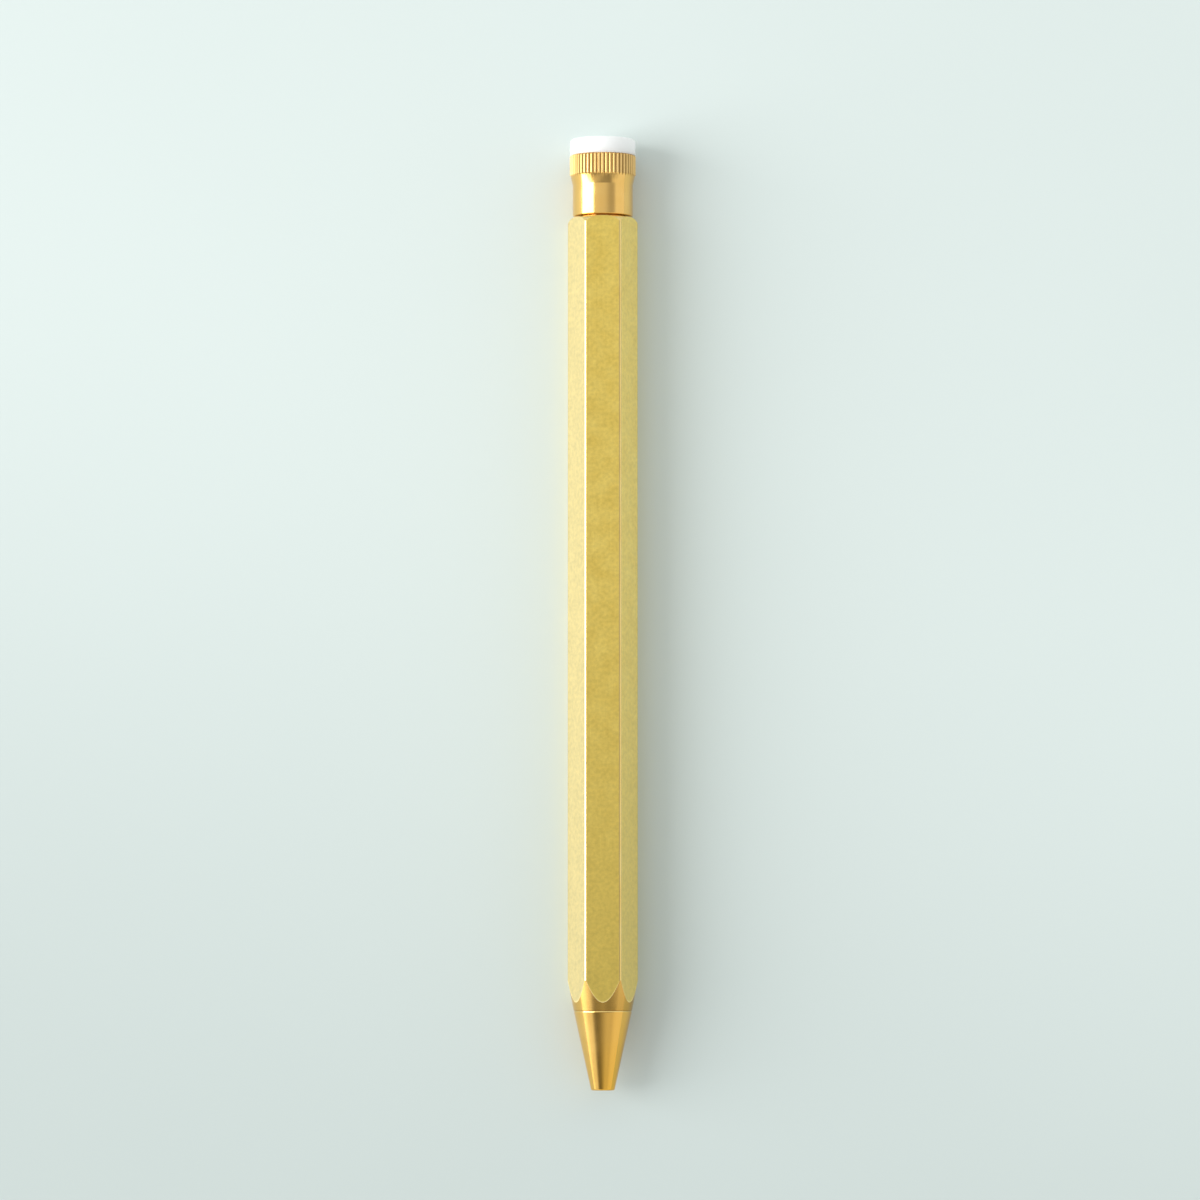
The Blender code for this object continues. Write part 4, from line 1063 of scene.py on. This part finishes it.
# painted highlight: on the left, where the window is reflected, the brass is kept pale
above = add(tree, "Math", {0: here["Z"], 1: AXIS_HEIGHT}, operation="SUBTRACT")
turned_by = add(tree, "Math", {0: here["X"], 1: above}, operation="ARCTAN2")
off_lit_side = add(tree, "MapRange", {
    "Value": turned_by, "From Min": -math.radians(LIT_SIDE_TURN[0]), "From Max": -math.radians(LIT_SIDE_TURN[1]),
    "To Min": LIT_SIDE_GOLD}, interpolation_type="SMOOTHSTEP")
deep_gold_off_lit_side = add(tree, "Math", {0: forward, 1: off_lit_side}, operation="MULTIPLY")
ripe = add(tree, "Mix", {
    SHARE: deep_gold_off_lit_side, FIRST: so_far(shader, "Base Color"), SECOND: colour(HELD_BRASS)}, data_type="RGBA")
behind = add(tree, "MapRange", {
    "Value": here["Y"], "From Min": at(0, nose_base).y, "From Max": at(0, barrel_start).y})
cone_brown_share = add(tree, "Math", {0: behind, 1: deep_gold_off_lit_side}, operation="MULTIPLY")
browned = add(tree, "Mix", {SHARE: cone_brown_share, FIRST: ripe, SECOND: colour(CONE_BROWN)}, data_type="RGBA")
feed(shader, {"Base Color": browned})

# %% [markdown]
# The knurling wheel pressed its grooves instead of cutting them, so the knurl is duller than the turned
# faces. Its grooves are darker than its crests. The distance from the axis tells one from the other.

# %% Knurled brass
GROOVE_DARK = "#9C7234"

tree, shader, place = clouded(
    "knurled_brass", FINGER_PATCH, hues=("#EBC47D", "#F0CD8C"), roughness=(0.42, 0.50))
pitted(tree, shader, place, SATIN_GRAIN, depth=0.006)
crest = add(tree, "MapRange", {
    "Value": distance_from_axis(tree, place), "From Min": (KNURL_RADIUS - KNURL_DEPTH) * MM,
    "From Max": KNURL_RADIUS * MM})
groove_darkened = add(tree, "Mix", {
    SHARE: crest, FIRST: colour(GROOVE_DARK), SECOND: so_far(shader, "Base Color")}, data_type="RGBA")
feed(shader, {"Base Color": groove_darkened})

# %% [markdown]
# Inside the pen the brass was only cut to size. Its tool rings are wider and its gloss is duller.

# %% Machined brass
CUT_RING = 0.45  # mm between rings

tree, shader, place = clouded(
    "machined_brass", FINGER_PATCH, hues=("#DDBB70", "#E8CA84"), roughness=(0.28, 0.38))
ringed(tree, shader, place, CUT_RING, depth=0.008, strength=0.5, detail=2.0)

# %% [markdown]
# Tube, spring, pins and screw are drawn steel: a cool grey sheen with faint lengthwise streaks.

# %% Spring steel
STREAK = 0.20  # mm across
STREAK_LENGTH = 12.0
STREAK_DEPTH = 0.006

tree, shader, place = clouded(
    "spring_steel", patch=2.0, hues=("#B9BABD", "#C9CACC"), roughness=(0.22, 0.30))
streaks = streaked(tree, place, STREAK, STREAK_LENGTH)
dents = add(tree, "Bump", {"Height": streaks, "Distance": STREAK_DEPTH * MM, "Strength": 0.5})
feed(shader, {"Normal": dents})

# %% [markdown]
# The writing ball is sintered carbide, ground and polished: a dark grey mirror with a trace of its grain.

# %% Carbide
CARBIDE_GRAIN = 0.05  # mm, coarser than the real grain

tree, shader, place = clouded("carbide", patch=0.3, hues=("#8F9095", "#A3A4A9"), roughness=(0.08, 0.14))
pitted(tree, shader, place, CARBIDE_GRAIN, depth=0.001)

# %% [markdown]
# The end plug is white vinyl. A little light enters it and comes out softened, and its mould has left a
# fine grain.

# %% White vinyl
MOULD_GRAIN = 0.18  # mm
VINYL_SCATTER = 1.2  # mm that light travels inside
VINYL_SHEEN = 0.6

tree, shader, place = clouded(
    "white_vinyl", patch=1.8, hues=("#F8F8F5", "#FDFDFB"), roughness=(0.42, 0.54), metallic=0.0)
pitted(tree, shader, place, MOULD_GRAIN, depth=0.006, strength=0.4)
feed(shader, {
    "Subsurface Weight": 1.0, "Subsurface Radius": (1, 1, 1), "Subsurface Scale": VINYL_SCATTER * MM,
    "Sheen Weight": VINYL_SHEEN})

# %% [markdown]
# Plunger and washer are natural acetal, a milky plastic with a waxy gloss. Less light goes into it than
# into the vinyl.

# %% Natural acetal
ACETAL_SCATTER = 0.6  # mm that light travels inside
ACETAL_SHARE = 0.20  # of the light goes in

tree, shader, place = clouded(
    "natural_acetal", patch=1.5, hues=("#E4E1D4", "#EEECE2"), roughness=(0.36, 0.46), metallic=0.0)
pitted(tree, shader, place, MOULD_GRAIN, depth=0.004, strength=0.4)
feed(shader, {"Subsurface Weight": ACETAL_SHARE, "Subsurface Scale": ACETAL_SCATTER * MM})

# %% [markdown]
# The refill's crown is dark moulded plastic, the seals are rubber with a pale bloom, and the ink is a wet
# black. They differ only in colour, gloss and grain, so one loop makes all three.

# %% Dark plastic, rubber and ink
DARK_PATCH = 1.5  # mm
RUBBER_GRAIN = 0.12  # mm
INK_RIPPLE = 1.2  # mm
DARK = {  # hues, roughness, grain and its depth in mm
    "dark_plastic": (("#222226", "#2C2C31"), (0.38, 0.50), MOULD_GRAIN, 0.006),
    "black_rubber": (("#1A1A1A", "#2B2B29"), (0.62, 0.78), RUBBER_GRAIN, 0.010),
    "black_ink": (("#08080E", "#10101C"), (0.10, 0.22), INK_RIPPLE, 0.004),
}

for name, (hues, roughness, grain_size, depth) in DARK.items():
    tree, shader, place = clouded(name, DARK_PATCH, hues, roughness, metallic=0.0)
    pitted(tree, shader, place, grain_size, depth)

# %% [markdown]
# ## Dressing the pen
# Each modelled piece takes the finish of its slot. The working parts that stay as they are take theirs from
# the record, which names a slot for every node.

# %% Finishes by slot
for piece in (barrel, nose, ferrule, plug, ball, point, tube, spring, ring):
    piece.data.materials.append(finishes[piece["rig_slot"]])
working_parts = []
for sub in frame["record"]["subparts"]:
    node = nodes[sub["node"]]
    if not node.hide_render:
        node.data.materials.clear()
        node.data.materials.append(finishes[sub["material_slot"]])
        working_parts.append(node.name)
print("working parts:", ", ".join(working_parts))

# %% [markdown]
# Some faces have a finish of their own. On the barrel, the cone in front of the scallops is as bare as the
# nose. Burnished are the crown, the rounded long edges, which are told by normals between those of two
# flats, and the rear edge of the nose. The ferrule's rim is knurled. Faces could be picked by hand, but a
# test on their place and normal finds the same ones again after any change.

# %% Faces with a finish of their own
TURNED_SLOPE = 0.16  # the least that the normal of a cone or a crown points endwise
NOSE_EDGE_SLOPE = (0.05, 0.60)  # the same for the rear edge of the nose, from least to most
FLAT_TURN = 3.0  # degrees that a flat's normal may be off


def dress(piece, finish, belongs):
    """Gives a finish to those faces of a piece for which a test holds."""
    piece.data.materials.append(finishes[finish])
    faces = [face for face in piece.data.polygons if belongs(face)]
    for face in faces:
        face.material_index = len(piece.data.materials) - 1
    print(piece.name, "has", len(faces), "faces of", finish)


# each of these tests is true for the faces of one stretch
def on_front_cone(face):
    return face.normal.y < -TURNED_SLOPE and off_axis(face.center) > FRONT_BORE


def on_crown(face):
    return face.normal.y > TURNED_SLOPE and off_axis(face.center) > REAR_BORE


def on_long_edge(face):
    direction = math.degrees(math.atan2(face.normal.x, face.normal.z))
    off_flat = abs((direction + HALF_SIDE) % (2 * HALF_SIDE) - HALF_SIDE)
    lengthwise = abs(face.normal.y) < ALONG_PEN
    return lengthwise and off_flat > FLAT_TURN and off_axis(face.center) > HALF_ACROSS_FLATS


def on_nose_edge(face):
    least, most = NOSE_EDGE_SLOPE
    return least < face.normal.y < most and off_axis(face.center) > SPIGOT_RADIUS + EASE


def on_knurl(face):
    floor = KNURL_RADIUS - KNURL_DEPTH - EASE
    return abs(face.normal.y) < TURNED_SLOPE and off_axis(face.center) > floor


dress(barrel, "turned_brass", on_front_cone)
# partly painted highlight: the pale burnished finish paints the line of light on crown, long edges and the
# nose's rear edge
dress(barrel, "burnished_brass", lambda face: on_crown(face) or on_long_edge(face))
dress(nose, "burnished_brass", on_nose_edge)
dress(ferrule, "knurled_brass", on_knurl)
